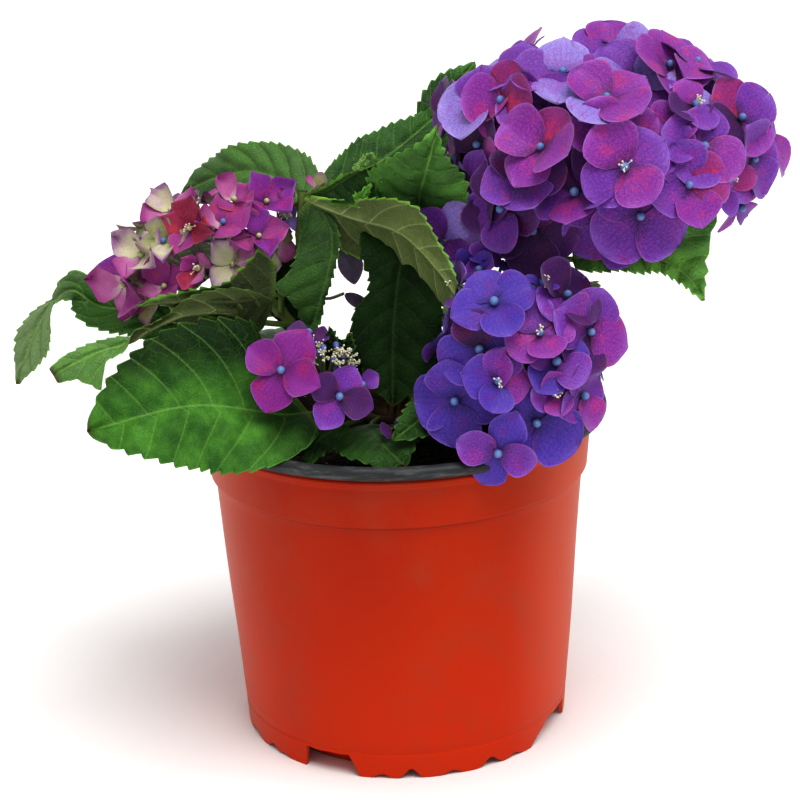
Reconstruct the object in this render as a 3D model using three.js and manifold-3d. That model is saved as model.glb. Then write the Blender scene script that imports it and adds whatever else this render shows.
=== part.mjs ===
// A potted hydrangea: plastic nursery pot, soil, woody stem base, stems, leaves and blooms.
// Millimetres, +Z up. The origin is the middle of the pot's underside, and -Y is the front.
import * as THREE from 'three';
import { mergeVertices } from 'three/addons/utils/BufferGeometryUtils.js';
import Module from 'manifold-3d';

const wasm = await Module();
wasm.setup();

// ---- driving sizes ----
const seatGap = 0.32; // clear space between pieces that rest on each other
const roundSteps = 36; // facets round the pot

const footRadius = 78.6;
const shoulderHeight = 129; // where the collar starts
const shoulderRadius = 88.2;
const collarStep = 2.3; // how far the collar stands out of the wall
const collarTopHeight = 153;
const collarTopRadius = 92.4;
const ridgeHeight = 151.5; // thin raised line under the lip
const ridgeProud = 0.9;
const lipHeight = 157.7; // middle of the rolled lip
const lipRadius = 96.8;
const lipThick = 3.2;
const wallThick = 1.6;

const notchHeight = 11; // drainage notches between the feet
const notchDeep = 18;
const notches = [
  { angle: -117, width: 19 },
  { angle: -36, width: 15 },
  { angle: 54, width: 19 },
  { angle: 144, width: 15 },
];

const soilTop = 143;
const soilUneven = 2.2; // height of the lumps in the soil
const soilRoundSteps = 18;
const soilFlatRadius = 16; // level ground round the stem base

const stemBaseHeight = 22;
const stemBaseRadius = 6.5;
const stemBaseFlare = 6;

const bladeThick = 1.6;
const stalkThick = 3.2;
const stalkHalfWidth = 1.5;
const leafStepsAlong = 6;
const leafStepsAcross = 4;

const limbSides = 6;
const limbSteps = 6;
const bloomDetail = 3;

const up = (x, y, z) => new THREE.Vector3(x, y, z).normalize();
const at = (x, y, z) => new THREE.Vector3(x, y, z);
const mix = THREE.MathUtils.lerp;
const radians = THREE.MathUtils.degToRad;

// ---- solids ----
function toSolid(geometry) {
  geometry.deleteAttribute('normal');
  geometry.deleteAttribute('uv');
  const merged = mergeVertices(geometry, 1e-4);
  return new wasm.Manifold(new wasm.Mesh({
    numProp: 3,
    vertProperties: new Float32Array(merged.attributes.position.array),
    triVerts: new Uint32Array(merged.index.array),
  }));
}

function largestPiece(solid) {
  const pieces = solid.decompose();
  return pieces.reduce((best, piece) => (piece.volume() > best.volume() ? piece : best));
}

function boxesMeet(a, b) {
  const boxA = a.boundingBox();
  const boxB = b.boundingBox();
  return [0, 1, 2].every((k) => boxA.min[k] < boxB.max[k] && boxB.min[k] < boxA.max[k]);
}

// Cuts a solid back from every neighbour that it would touch, and keeps its main piece.
function clearOf(solid, neighbours) {
  let result = solid;
  for (const neighbour of neighbours) {
    if (boxesMeet(result, neighbour)) result = result.subtract(neighbour);
  }
  return largestPiece(result);
}

// ---- pot and soil ----
function lathe(profile) {
  const points = profile.map(([radius, height]) => new THREE.Vector2(radius, height));
  return toSolid(new THREE.LatheGeometry(points, roundSteps).rotateX(Math.PI / 2));
}

const wallRadius = (height) => mix(footRadius, shoulderRadius, height / shoulderHeight);
const collarRadius = (height) => {
  const share = (height - shoulderHeight) / (collarTopHeight - shoulderHeight);
  return mix(shoulderRadius + collarStep, collarTopRadius, share);
};

// Outside of the pot up to the lip; grow moves it outwards to clear what hangs over it.
function potOutside(grow) {
  const lipArc = [-50, -10, 30, 70, 110].map((angle) => [
    lipRadius + (lipThick + grow) * Math.cos(radians(angle)),
    lipHeight + (lipThick + grow) * Math.sin(radians(angle)),
  ]);
  return [
    [0, -grow],
    [footRadius + grow, -grow],
    [wallRadius(shoulderHeight) + grow, shoulderHeight],
    [collarRadius(shoulderHeight) + grow, shoulderHeight + 0.8],
    [collarRadius(ridgeHeight - 1) + grow, ridgeHeight - 1],
    [collarRadius(ridgeHeight) + ridgeProud + grow, ridgeHeight],
    [collarTopRadius + grow, ridgeHeight + 1],
    [collarTopRadius + 0.6 + grow, collarTopHeight + 1],
    ...lipArc,
  ];
}

const innerTopRadius = collarTopRadius - wallThick;
const lipTop = lipHeight + lipThick;

// The hollow of the pot, drawn in by inset so that the soil clears the wall.
function potInside(inset, topHeight) {
  return [
    [0, wallThick + inset],
    [footRadius - wallThick - inset, wallThick + inset],
    [wallRadius(shoulderHeight) - wallThick - inset, shoulderHeight + inset],
    [collarRadius(shoulderHeight) - wallThick - inset, shoulderHeight + wallThick + inset],
    [innerTopRadius - inset, topHeight],
    [0, topHeight],
  ];
}

// A drainage notch: a low doorway with rounded corners, cut in from the side of the foot.
function notchSolid({ angle, width }, grow) {
  const half = width / 2 + grow;
  const top = notchHeight + grow;
  const corner = 4;
  const door = new THREE.Shape();
  door.moveTo(-half, -5);
  door.lineTo(half, -5);
  door.lineTo(half, top - corner);
  door.quadraticCurveTo(half, top, half - corner, top);
  door.lineTo(corner - half, top);
  door.quadraticCurveTo(-half, top, -half, top - corner);
  const depth = notchDeep + 20 + grow;
  const geometry = new THREE.ExtrudeGeometry(door, { depth, bevelEnabled: false, curveSegments: 2 });
  geometry.rotateX(Math.PI / 2).rotateZ(Math.PI / 2);
  geometry.translate(footRadius - notchDeep - grow, 0, 0).rotateZ(radians(angle));
  return toSolid(geometry);
}

function cutNotches(solid, grow) {
  return notches.reduce((rest, notch) => rest.subtract(notchSolid(notch, grow)), solid);
}

function potSolid() {
  const outside = lathe([...potOutside(0), [innerTopRadius, lipTop - 1.2], [0, lipTop - 1.2]]);
  const inside = lathe(potInside(0, lipTop + 1));
  return cutNotches(outside, 0).subtract(cutNotches(inside, wallThick));
}

function potFullSolid(grow) {
  const outside = lathe([...potOutside(grow), [innerTopRadius - grow, lipTop], [0, lipTop]]);
  return outside.subtract(lathe(potInside(grow, lipTop + 1)));
}

const soilLump = (x, y) => soilUneven * (
  Math.sin(x / 9 + 1) * Math.cos(y / 11) + 0.6 * Math.sin((x + y) / 5.3) * Math.cos((x - y) / 6.1)
);

function soilSolid(grow) {
  const rim = collarRadius(soilTop) - wallThick - seatGap;
  const rings = [66, 42, soilFlatRadius];
  const bowl = potInside(seatGap, soilTop).slice(0, 4);
  const profile = [...bowl, [rim - 0.6, soilTop], ...rings.map((radius) => [radius, soilTop]), [0, soilTop]];
  const points = profile.map(([radius, height]) => new THREE.Vector2(radius, height));
  const geometry = new THREE.LatheGeometry(points, soilRoundSteps).rotateX(Math.PI / 2);
  const position = geometry.attributes.position;
  for (let i = 0; i < position.count; i += 1) {
    const x = position.getX(i);
    const y = position.getY(i);
    const radius = Math.hypot(x, y);
    const height = position.getZ(i);
    if (height > soilTop - 1) {
      const swell = THREE.MathUtils.smoothstep(radius, soilFlatRadius, 30);
      position.setZ(i, height + grow + swell * soilLump(x, y));
    }
  }
  return cutNotches(toSolid(geometry), wallThick + seatGap);
}

// ---- stems ----
const limbCurve = (path) => new THREE.CatmullRomCurve3(path, false, 'catmullrom');

// One tapering limb along a curve. The flare widens its foot.
function limbSolid({ path, from, to, flare = 0 }, grow) {
  const curve = limbCurve(path);
  const frames = curve.computeFrenetFrames(limbSteps, false);
  const geometry = new THREE.CylinderGeometry(1, 1, 1, limbSides, limbSteps);
  const position = geometry.attributes.position;
  for (let i = 0; i < position.count; i += 1) {
    const step = Math.round((position.getY(i) + 0.5) * limbSteps);
    const along = step / limbSteps;
    const radius = mix(from, to, along) + flare * Math.exp(-along * 6) + grow;
    const endward = step === 0 ? -grow : grow * (step === limbSteps);
    const point = curve.getPointAt(along).addScaledVector(frames.tangents[step], endward);
    point.addScaledVector(frames.normals[step], position.getZ(i) * radius);
    point.addScaledVector(frames.binormals[step], position.getX(i) * radius);
    position.setXYZ(i, point.x, point.y, point.z);
  }
  return toSolid(geometry);
}

const groundLevel = soilTop + seatGap;
const stemBase = {
  path: [at(0, 0, groundLevel), at(0, 0, groundLevel + 8), at(-1, 1, groundLevel + stemBaseHeight)],
  from: stemBaseRadius,
  to: stemBaseRadius - 1.5,
  flare: stemBaseFlare,
};

// Each stem rises from the stem base and ends where it enters its bloom or leaf node.
const stems = {
  stem_right: { path: [at(0, 0, 152), at(28, 0, 172), at(60, 2, 204), at(82, 0, 236)], from: 4.2, to: 2.8 },
  stem_front: { path: [at(0, 0, 150), at(18, -24, 164), at(36, -40, 176)], from: 3.6, to: 2.4 },
  stem_left: { path: [at(0, 0, 150), at(-24, 8, 166), at(-50, 4, 200), at(-74, 0, 230)], from: 3.8, to: 2.4 },
  stem_middle: {
    path: [at(-1, 1, 160), at(-30, -7, 180), at(-42, -5, 214), at(-40, -5, 264)], from: 3.8, to: 2.4,
  },
  stem_low: { path: [at(0, 0, 147), at(-20, -34, 165), at(-33, -52, 182)], from: 3.2, to: 2 },
  stem_centre: {
    path: [at(0, 1, 158), at(10, 5, 186), at(17, 7, 218), at(18, 14, 244), at(18, 24, 262)], from: 3.6, to: 2,
  },
  stem_back: { path: [at(0, 0, 148), at(16, 30, 180), at(24, 50, 216)], from: 3.6, to: 2.4 },
};

// ---- leaves ----
// rib runs from the foot on the stem to the tip; stalk is the share of it that is bare leaf stalk.
// faces lists the ways that the upper side faces, from foot to tip. half is the half-width to the left
// and to the right, seen from above with the tip ahead; lift raises each half out of the blade's plane,
// and outline sets how blunt the base and how sharp the tip is, on each side.
const leaves = {
  leaf_front_left: {
    rib: [at(-21, -35, 166), at(-50, -58, 174), at(-90, -72, 184), at(-136, -82, 177)], stalk: 0.2,
    faces: [up(0, -0.75, 0.66), up(0, -0.7, 0.7), up(0.1, -0.75, 0.66)],
    half: [36, 42], lift: [8, 10], outline: [[0.5, 1], [0.5, 1]], steps: 8,
  },
  leaf_left_curled: {
    rib: [at(-40, -6, 200), at(-64, -34, 211), at(-98, -46, 205), at(-124, -54, 199), at(-152, -56, 193)],
    stalk: 0.2, faces: [up(0, 0.9, 0.45), up(0, 0.9, 0.45), up(0, 0.6, 0.8), up(0, -0.6, 0.8), up(0, -0.8, 0.6)],
    half: [20, 20], lift: [0, 12], outline: [[0.5, 0.7], [0.5, 0.7]], steps: 8,
  },
  leaf_far_left: {
    rib: [at(-53, 3, 204), at(-104, 10, 198), at(-136, 8, 213), at(-152, 4, 222), at(-166, 2, 207),
      at(-181, 0, 175)],
    stalk: 0.3, faces: [up(0, -0.5, 0.85), up(0, -0.5, 0.85), up(0.2, -0.3, 0.9), up(-0.1, -0.2, 1),
      up(-0.8, -0.5, 0.4), up(-0.8, -0.5, 0.3)],
    half: [14, 13], lift: [12, 12], outline: [[0.6, 0.9], [0.6, 0.9]], steps: 9,
  },
  leaf_behind_young_bloom: {
    rib: [at(-41, -4, 234), at(-58, 16, 254), at(-68, 36, 271), at(-78, 66, 269), at(-84, 92, 248)],
    stalk: 0.2, faces: [up(-0.2, -0.6, 0.8), up(-0.2, -0.2, 1), up(-0.2, 0.5, 0.8)],
    half: [33, 30], lift: [-4, -8], outline: [[0.4, 0.8], [0.4, 0.8]],
  },
  leaf_under_young_bloom: {
    rib: [at(-53, 3, 205), at(-62, -26, 210), at(-86, -36, 215), at(-114, -42, 223)], stalk: 0.2,
    faces: [up(0, 1, 0), up(0, 0.8, 0.5), up(0, 0.4, 0.9)],
    half: [14, 29], lift: [10, 10], outline: [[0.4, 1], [0.2, 1]],
  },
  leaf_hanging_middle: {
    rib: [at(-41, -6, 254), at(-29, -14, 246), at(-29, -20, 224), at(-35, -24, 208), at(-43, -25, 191)],
    stalk: 0.12, faces: [up(-0.3, -1, 0.2), up(-0.1, -1, 0)],
    half: [13, 23], lift: [-78, 8], outline: [[1, 0.5], [1, 0.5]],
  },
  leaf_middle_arching: {
    rib: [at(-39, -6, 259), at(-14, -16, 257), at(10, -34, 246), at(32, -60, 221)], stalk: 0.08,
    faces: [up(0, 1, 0.3), up(0.3, 0.9, 0.2), up(0.7, 0.7, 0.1)],
    half: [22, 16], lift: [0, 0], outline: [[0.4, 0.8], [1, 0.6]], steps: 8,
  },
  leaf_middle_drooping: {
    rib: [at(17, 9, 227), at(6, -22, 238), at(0, -44, 212), at(-2, -60, 176)], stalk: 0.25,
    faces: [up(0, -0.6, 0.8), up(0, -0.95, 0.3)],
    half: [22, 20], lift: [10, 10], outline: [[0.6, 0.9], [0.6, 0.9]],
  },
  leaf_middle_upright: {
    rib: [at(18, 12, 239), at(15, -6, 252), at(14, -12, 272), at(22, -14, 292)], stalk: 0.2,
    faces: [up(0, -1, 0.1), up(0, -1, 0.2)],
    half: [25, 21], lift: [12, 12], outline: [[0.5, 1], [0.5, 1]],
  },
  leaf_middle_raised: {
    rib: [at(-40, -3, 261), at(-16, 8, 267), at(6, 20, 279), at(28, 32, 294)], stalk: 0.12,
    faces: [up(-0.5, -0.7, 0.4)],
    half: [12, 18], lift: [15, 15], outline: [[0.6, 0.9], [0.6, 0.9]], steps: 5,
  },
  leaf_middle_folded: {
    rib: [at(-40, -5, 264), at(-24, -14, 270), at(-8, -16, 275), at(2, -18, 281)], stalk: 0.12,
    faces: [up(-0.5, 0.2, 0.8)],
    half: [9, 9], lift: [15, 15], outline: [[0.6, 0.9], [0.6, 0.9]], steps: 5,
  },
  leaf_top: {
    rib: [at(18, 23, 260), at(24, 38, 276), at(29, 50, 294), at(43, 58, 311)], stalk: 0.2,
    faces: [up(-0.2, -1, 0.3)],
    half: [13, 13], lift: [10, 10], outline: [[0.6, 0.9], [0.6, 0.9]],
  },
  leaf_right_drooping: {
    rib: [at(75, 1, 225), at(96, 4, 225), at(126, 2, 229), at(141, 0, 229), at(147, -4, 220),
      at(144, -10, 204)],
    stalk: 0.12, faces: [up(0, -0.35, 0.95), up(0, -0.35, 0.95), up(0, -0.35, 0.95), up(0.2, -0.3, 0.9),
      up(0.8, -0.4, 0.4), up(0.9, -0.4, 0.2)],
    half: [24, 27], lift: [14, 6], outline: [[0.5, 1.1], [0.5, 0.8]], steps: 9,
  },
  leaf_rim_front: {
    rib: [at(-9, -18, 157), at(-12, -48, 163), at(-7, -68, 162), at(2, -86, 158)], stalk: 0.4,
    faces: [up(0, -0.3, 0.95), up(0, -0.5, 0.85)],
    half: [20, 20], lift: [0, 0], outline: [[0.6, 0.9], [0.6, 0.9]],
  },
  leaf_rim_small_left: {
    rib: [at(-14, -26, 160), at(-26, -46, 163), at(-36, -62, 162), at(-40, -74, 155)], stalk: 0.35,
    faces: [up(0.3, -0.5, 0.85)],
    half: [10, 12], lift: [10, 10], outline: [[0.6, 0.9], [0.6, 0.9]], steps: 4,
  },
  leaf_rim_small_right: {
    rib: [at(14, -19, 161), at(18, -44, 174), at(14, -62, 174), at(-3, -78, 166)], stalk: 0.35,
    faces: [up(0.2, -0.4, 0.9), up(0.2, -0.5, 0.85)],
    half: [14, 10], lift: [10, 10], outline: [[0.6, 0.9], [0.6, 0.9]], steps: 5,
  },
  leaf_behind_lacecap: {
    rib: [at(-20, -34, 165), at(-24, -42, 184), at(-26, -46, 196), at(-31, -48, 207)], stalk: 0.3,
    faces: [up(0, -1, 0.3)],
    half: [10, 14], lift: [10, 10], outline: [[0.6, 0.9], [0.6, 0.9]], steps: 4,
  },
  leaf_back_right: {
    rib: [at(13, 24, 173), at(38, 56, 190), at(50, 90, 184), at(58, 118, 160)], stalk: 0.3,
    faces: [up(0.2, 0.2, 0.95), up(0.4, 0.8, 0.5)],
    half: [26, 26], lift: [10, 10], outline: [[0.6, 0.9], [0.6, 0.9]],
  },
  leaf_back_middle: {
    rib: [at(8, 14, 163), at(12, 58, 180), at(10, 94, 174), at(4, 124, 150)], stalk: 0.3,
    faces: [up(0, 0.2, 0.95), up(0, 0.8, 0.5)],
    half: [26, 26], lift: [10, 10], outline: [[0.6, 0.9], [0.6, 0.9]],
  },
  leaf_back_left_upper: {
    rib: [at(-46, 5, 195), at(-66, 44, 224), at(-92, 80, 214), at(-108, 104, 186)], stalk: 0.3,
    faces: [up(-0.2, 0.2, 0.95), up(-0.4, 0.8, 0.5)],
    half: [26, 26], lift: [10, 10], outline: [[0.6, 0.9], [0.6, 0.9]],
  },
  leaf_back_left_lower: {
    rib: [at(-19, 7, 162), at(-58, 46, 178), at(-90, 64, 176), at(-116, 80, 156)], stalk: 0.3,
    faces: [up(-0.2, 0.2, 0.95), up(-0.4, 0.8, 0.5)],
    half: [26, 26], lift: [10, 10], outline: [[0.6, 0.9], [0.6, 0.9]],
  },
  leaf_right_back: {
    rib: [at(43, 1, 187), at(66, 38, 204), at(86, 62, 202), at(100, 84, 184)], stalk: 0.3,
    faces: [up(0.2, 0.2, 0.95), up(0.4, 0.8, 0.5)],
    half: [24, 24], lift: [10, 10], outline: [[0.6, 0.9], [0.6, 0.9]],
  },
  leaf_back_upper_right: {
    rib: [at(72, 2, 221), at(84, 52, 234), at(94, 90, 230), at(100, 118, 206)], stalk: 0.35,
    faces: [up(0.2, 0.2, 0.95), up(0.4, 0.8, 0.5)],
    half: [26, 26], lift: [10, 10], outline: [[0.6, 0.9], [0.6, 0.9]],
  },
};

// Half-width of a leaf as a share of its greatest, from the blade's base at 0 to its tip at 1.
function outlineShare(place, [blunt, sharp]) {
  const peak = blunt / (blunt + sharp);
  const greatest = peak ** blunt * (1 - peak) ** sharp;
  const inside = THREE.MathUtils.clamp(place, 0, 1);
  return (inside ** blunt * (1 - inside) ** sharp) / greatest;
}

function faceAt(faces, place) {
  const last = faces.length - 1;
  const step = Math.min(Math.floor(place * last), Math.max(last - 1, 0));
  const share = THREE.MathUtils.smoothstep(place * last - step, 0, 1);
  return faces[step].clone().lerp(faces[Math.min(step + 1, last)], share);
}

// A thin closed blade of the leaf's outline, with its stalk, bent along the rib.
function leafSolid({ rib, stalk, faces, half, lift, outline, steps = leafStepsAlong }, grow) {
  const curve = limbCurve(rib);
  const geometry = new THREE.BoxGeometry(2, 1, 1, leafStepsAcross, steps, 1);
  const position = geometry.attributes.position;
  for (let i = 0; i < position.count; i += 1) {
    const along = position.getY(i) + 0.5;
    const across = Math.abs(position.getX(i));
    const side = position.getX(i) > 0 ? 1 : 0; // the right half is the box's +X
    const sign = side === 1 ? -1 : 1;
    const tangent = curve.getTangentAt(along);
    const face = faceAt(faces, curve.getUtoTmapping(along));
    face.addScaledVector(tangent, -face.dot(tangent)).normalize();
    const left = new THREE.Vector3().crossVectors(face, tangent);
    const place = (along - stalk) / (1 - stalk);
    const width = half[side] * outlineShare(place, outline[side]) + stalkHalfWidth + grow;
    const angle = radians(across > 0 ? lift[side] : 0);
    const stalkShare = 1 - THREE.MathUtils.smoothstep(place, 0, 0.25);
    const thick = mix(bladeThick, stalkThick, stalkShare) / 2 + grow;
    const endward = along < 0.01 ? -grow : grow * (along > 0.99);
    const point = curve.getPointAt(along).addScaledVector(tangent, endward);
    point.addScaledVector(left, sign * width * across * Math.cos(angle));
    point.addScaledVector(face, width * across * Math.sin(angle));
    const skin = 2 * position.getZ(i) * thick;
    point.addScaledVector(face, skin * Math.cos(angle));
    point.addScaledVector(left, -sign * skin * Math.sin(angle));
    position.setXYZ(i, point.x, point.y, point.z);
  }
  return toSolid(geometry);
}

// ---- blooms ----
const blooms = {
  bloom_large_right: { middle: at(99, 0, 279), half: at(83, 72, 54), lean: 0, seed: 1 },
  bloom_front_right: { middle: at(54, -55, 193), half: at(48, 38, 50), lean: 0, seed: 2 },
  bloom_young_left: { middle: at(-90, 0, 238), half: at(48, 34, 26), lean: -22, seed: 3 },
  bloom_lacecap_front: { middle: at(-37, -62, 194), half: at(26, 17, 20), lean: 0, seed: 4, detail: 2 },
  bloom_back: { middle: at(28, 58, 240), half: at(42, 36, 32), lean: 10, seed: 5, detail: 2 },
};
const bloomUneven = 0.04; // how far the heads of petals swell and sink, as a share of the radius

function bloomSolid({ middle, half, lean, seed, detail = bloomDetail }, grow) {
  const geometry = new THREE.IcosahedronGeometry(1, detail);
  const position = geometry.attributes.position;
  for (let i = 0; i < position.count; i += 1) {
    const [x, y, z] = [position.getX(i), position.getY(i), position.getZ(i)];
    const swell = Math.sin(5 * x + seed) * Math.cos(4 * y - seed) + Math.sin(6 * z + 3 * x + seed);
    const reach = 1 + bloomUneven * swell;
    position.setXYZ(i, x * (half.x * reach + grow), y * (half.y * reach + grow), z * (half.z * reach + grow));
  }
  geometry.rotateY(radians(lean)).translate(middle.x, middle.y, middle.z);
  return toSolid(geometry);
}

// ---- the whole plant ----
function addPiece(group, name, solid, origin, look) {
  const { vertProperties, triVerts } = solid.getMesh();
  const geometry = new THREE.BufferGeometry();
  geometry.setAttribute('position', new THREE.BufferAttribute(new Float32Array(vertProperties), 3));
  geometry.setIndex(new THREE.BufferAttribute(new Uint32Array(triVerts), 1));
  geometry.translate(-origin.x, -origin.y, -origin.z);
  const mesh = new THREE.Mesh(geometry, new THREE.MeshStandardMaterial(look));
  mesh.name = name;
  mesh.position.copy(origin);
  group.add(mesh);
}

const looks = {
  pot: { color: 0xc8432a, roughness: 0.45, metalness: 0 },
  soil: { color: 0x1c1713, roughness: 0.95, metalness: 0 },
  bark: { color: 0x6b5636, roughness: 0.8, metalness: 0 },
  stem: { color: 0x5f7d38, roughness: 0.6, metalness: 0 },
  leaf: { color: 0x2f6b2c, roughness: 0.5, metalness: 0 },
  bloom: { color: 0x7a3fa8, roughness: 0.6, metalness: 0 },
  youngBloom: { color: 0xb86a98, roughness: 0.6, metalness: 0 },
};

const model = new THREE.Group();
const planter = new THREE.Group();
const woody = new THREE.Group();
const foliage = new THREE.Group();
const heads = new THREE.Group();
model.add(planter, woody, heads, foliage);

const potPlace = at(0, 0, 0);
addPiece(planter, 'pot', potSolid(), potPlace, looks.pot);
addPiece(planter, 'soil', soilSolid(0), potPlace, looks.soil);
const keepClear = [potFullSolid(seatGap), soilSolid(seatGap)]; // what later pieces stay out of

addPiece(woody, 'stem_base', limbSolid(stemBase, 0), at(0, 0, groundLevel), looks.bark);
keepClear.push(limbSolid(stemBase, seatGap));

const grownBlooms = [];
for (const [name, bloom] of Object.entries(blooms)) {
  const solid = clearOf(bloomSolid(bloom, 0), [...keepClear, ...grownBlooms]);
  grownBlooms.push(bloomSolid(bloom, seatGap));
  const look = name === 'bloom_young_left' ? looks.youngBloom : looks.bloom;
  addPiece(heads, name, solid, bloom.middle, look);
}
keepClear.push(...grownBlooms);

for (const [name, stem] of Object.entries(stems)) {
  addPiece(woody, name, clearOf(limbSolid(stem, 0), keepClear), stem.path[0], looks.stem);
  keepClear.push(limbSolid(stem, seatGap));
}

for (const [name, leaf] of Object.entries(leaves)) {
  addPiece(foliage, name, clearOf(leafSolid(leaf, 0), keepClear), leaf.rib[0], looks.leaf);
  keepClear.push(leafSolid(leaf, seatGap));
}

export default model;
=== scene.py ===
# A young hydrangea in a nursery pot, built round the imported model. Lengths are in mm until a mesh is made.
import math

import bmesh
import bpy
import numpy as np
from mathutils import Matrix, Vector


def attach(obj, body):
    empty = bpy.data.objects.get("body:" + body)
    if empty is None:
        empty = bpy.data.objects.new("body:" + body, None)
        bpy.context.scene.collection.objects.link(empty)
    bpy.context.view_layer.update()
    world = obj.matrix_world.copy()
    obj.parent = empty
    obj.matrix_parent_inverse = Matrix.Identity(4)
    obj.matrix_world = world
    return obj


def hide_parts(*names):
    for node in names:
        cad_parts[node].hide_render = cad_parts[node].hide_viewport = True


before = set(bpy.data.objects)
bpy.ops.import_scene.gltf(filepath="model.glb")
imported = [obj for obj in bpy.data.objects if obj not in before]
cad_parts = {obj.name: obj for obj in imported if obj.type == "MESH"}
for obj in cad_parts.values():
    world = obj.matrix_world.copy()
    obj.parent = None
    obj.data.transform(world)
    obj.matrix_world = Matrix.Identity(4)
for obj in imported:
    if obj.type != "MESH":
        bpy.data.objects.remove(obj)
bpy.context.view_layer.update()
metres = 0.001
tau = 2 * math.pi

# the camera: place and target in mm, roll in radians
view = {
    "place": (0, -944.7, 469.2), "target": (1.56, 0, 159.8), "roll": -0.0324,
    "focal": 93.64, "sensor": 36, "nearest": 0.01,
}
# wide soft suns: name, the place each shines from, power, spread in degrees and colour; the floor's reach
# is in metres
light = {
    "sky": 0.38, "contrast": 0.84,
    "floorReach": 60, "floorColour": (0.92, 0.92, 0.92, 1), "floorRough": 0.9,
    "suns": [
        ("key_sun", (0.35, -0.55, 1.6), 2.9, 45, (1, 0.99, 0.97)),
        ("front_sun", (-0.4, -1.5, 0.6), 0.35, 90, (1, 1, 1)),
        ("back_sun", (-0.5, 1.4, 0.9), 0.9, 80, (1, 1, 1)),
    ],
}


def aimed(place, target):
    return (Vector(target) - Vector(place)).to_track_quat("-Z", "Y").to_matrix().to_4x4()


def addCamera():
    data = bpy.data.cameras.new("camera")
    data.lens = view["focal"]
    data.sensor_width = view["sensor"]
    data.clip_start = view["nearest"]
    camera = bpy.data.objects.new("camera", data)
    bpy.context.scene.collection.objects.link(camera)
    place = Vector(view["place"]) * metres
    turn = aimed(place, Vector(view["target"]) * metres) @ Matrix.Rotation(view["roll"], 4, "Z")
    camera.matrix_world = Matrix.Translation(place) @ turn
    bpy.context.scene.camera = camera


def addSun(name, place, power, spread, colour):
    data = bpy.data.lights.new(name, "SUN")
    data.energy = power
    data.angle = math.radians(spread)
    data.color = colour
    lamp = bpy.data.objects.new(name, data)
    bpy.context.scene.collection.objects.link(lamp)
    lamp.matrix_world = Matrix.Translation(place) @ aimed(place, (0, 0, 0))


def addStage():
    world = bpy.data.worlds.new("studio")
    world.use_nodes = True
    world.node_tree.nodes["Background"].inputs["Color"].default_value = (1, 1, 1, 1)
    world.node_tree.nodes["Background"].inputs["Strength"].default_value = light["sky"]
    bpy.context.scene.world = world
    for name, place, power, spread, colour in light["suns"]:
        addSun(name, place, power, spread, colour)
    mesh = bpy.data.meshes.new("floor")
    reach = light["floorReach"]
    corners = [(-reach, -reach, 0), (reach, -reach, 0), (reach, reach, 0), (-reach, reach, 0)]
    mesh.from_pydata(corners, [], [(0, 1, 2, 3)])
    floor = bpy.data.objects.new("floor", mesh)
    bpy.context.scene.collection.objects.link(floor)
    material = bpy.data.materials.new("floor")
    material.use_nodes = True
    surface = material.node_tree.nodes["Principled BSDF"]
    surface.inputs["Base Color"].default_value = light["floorColour"]
    surface.inputs["Roughness"].default_value = light["floorRough"]
    mesh.materials.append(material)
    bpy.context.scene.view_settings.view_transform = "Standard"
    bpy.context.scene.view_settings.gamma = light["contrast"]


addCamera()
addStage()
print("stage done")


def unit(v):
    v = np.asarray(v, float)
    return v / np.maximum(np.linalg.norm(v, axis=-1, keepdims=True), 1e-9)


def smooth(x, low, high):
    t = np.clip((np.asarray(x, float) - low) / (high - low), 0, 1)
    return t * t * (3 - 2 * t)


# turns colours given as everyday 0-255 values into what the shader wants
def linear(rgb):
    return tuple((c / 255 / 12.92 if c <= 10 else ((c / 255 + 0.055) / 1.055) ** 2.4) for c in rgb) + (1,)


def linears(palette):
    return {key: linear(rgb) for key, rgb in palette.items()}


def between(a, b, share):
    return tuple(x + (y - x) * share for x, y in zip(a, b))


def darker(colour, share):
    return tuple(share * c for c in colour[:3]) + (1,)


# a grid's map from what runs along its columns and what runs down its rows
def mapOf(u, v):
    return np.stack(np.broadcast_arrays(u, v), -1)


# collects points, faces, a map for the pattern and named values at each point
class Shape:

    def __init__(self):
        self.points, self.faces, self.maps = [], [], []
        self.values, self.count = {}, 0

    def add(self, points, faces, maps, **values):
        self.points.append(points)
        self.faces.append(np.asarray(faces, int) + self.count)
        self.maps.append(maps)
        for key, value in values.items():
            self.values.setdefault(key, []).append(value)
        self.count += len(points)

    def grid(self, points, maps, flip=False, **values):
        # points is rows x columns x 3
        rows, columns = points.shape[:2]
        first = (np.arange(rows - 1)[:, None] * columns + np.arange(columns - 1)[None]).ravel()
        faces = np.stack([first, first + 1, first + columns + 1, first + columns], 1)
        if flip:
            faces = faces[:, ::-1]
        flat = {key: np.asarray(value).reshape(rows * columns, -1) for key, value in values.items()}
        self.add(points.reshape(-1, 3), faces, maps.reshape(-1, 2), **flat)


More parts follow.
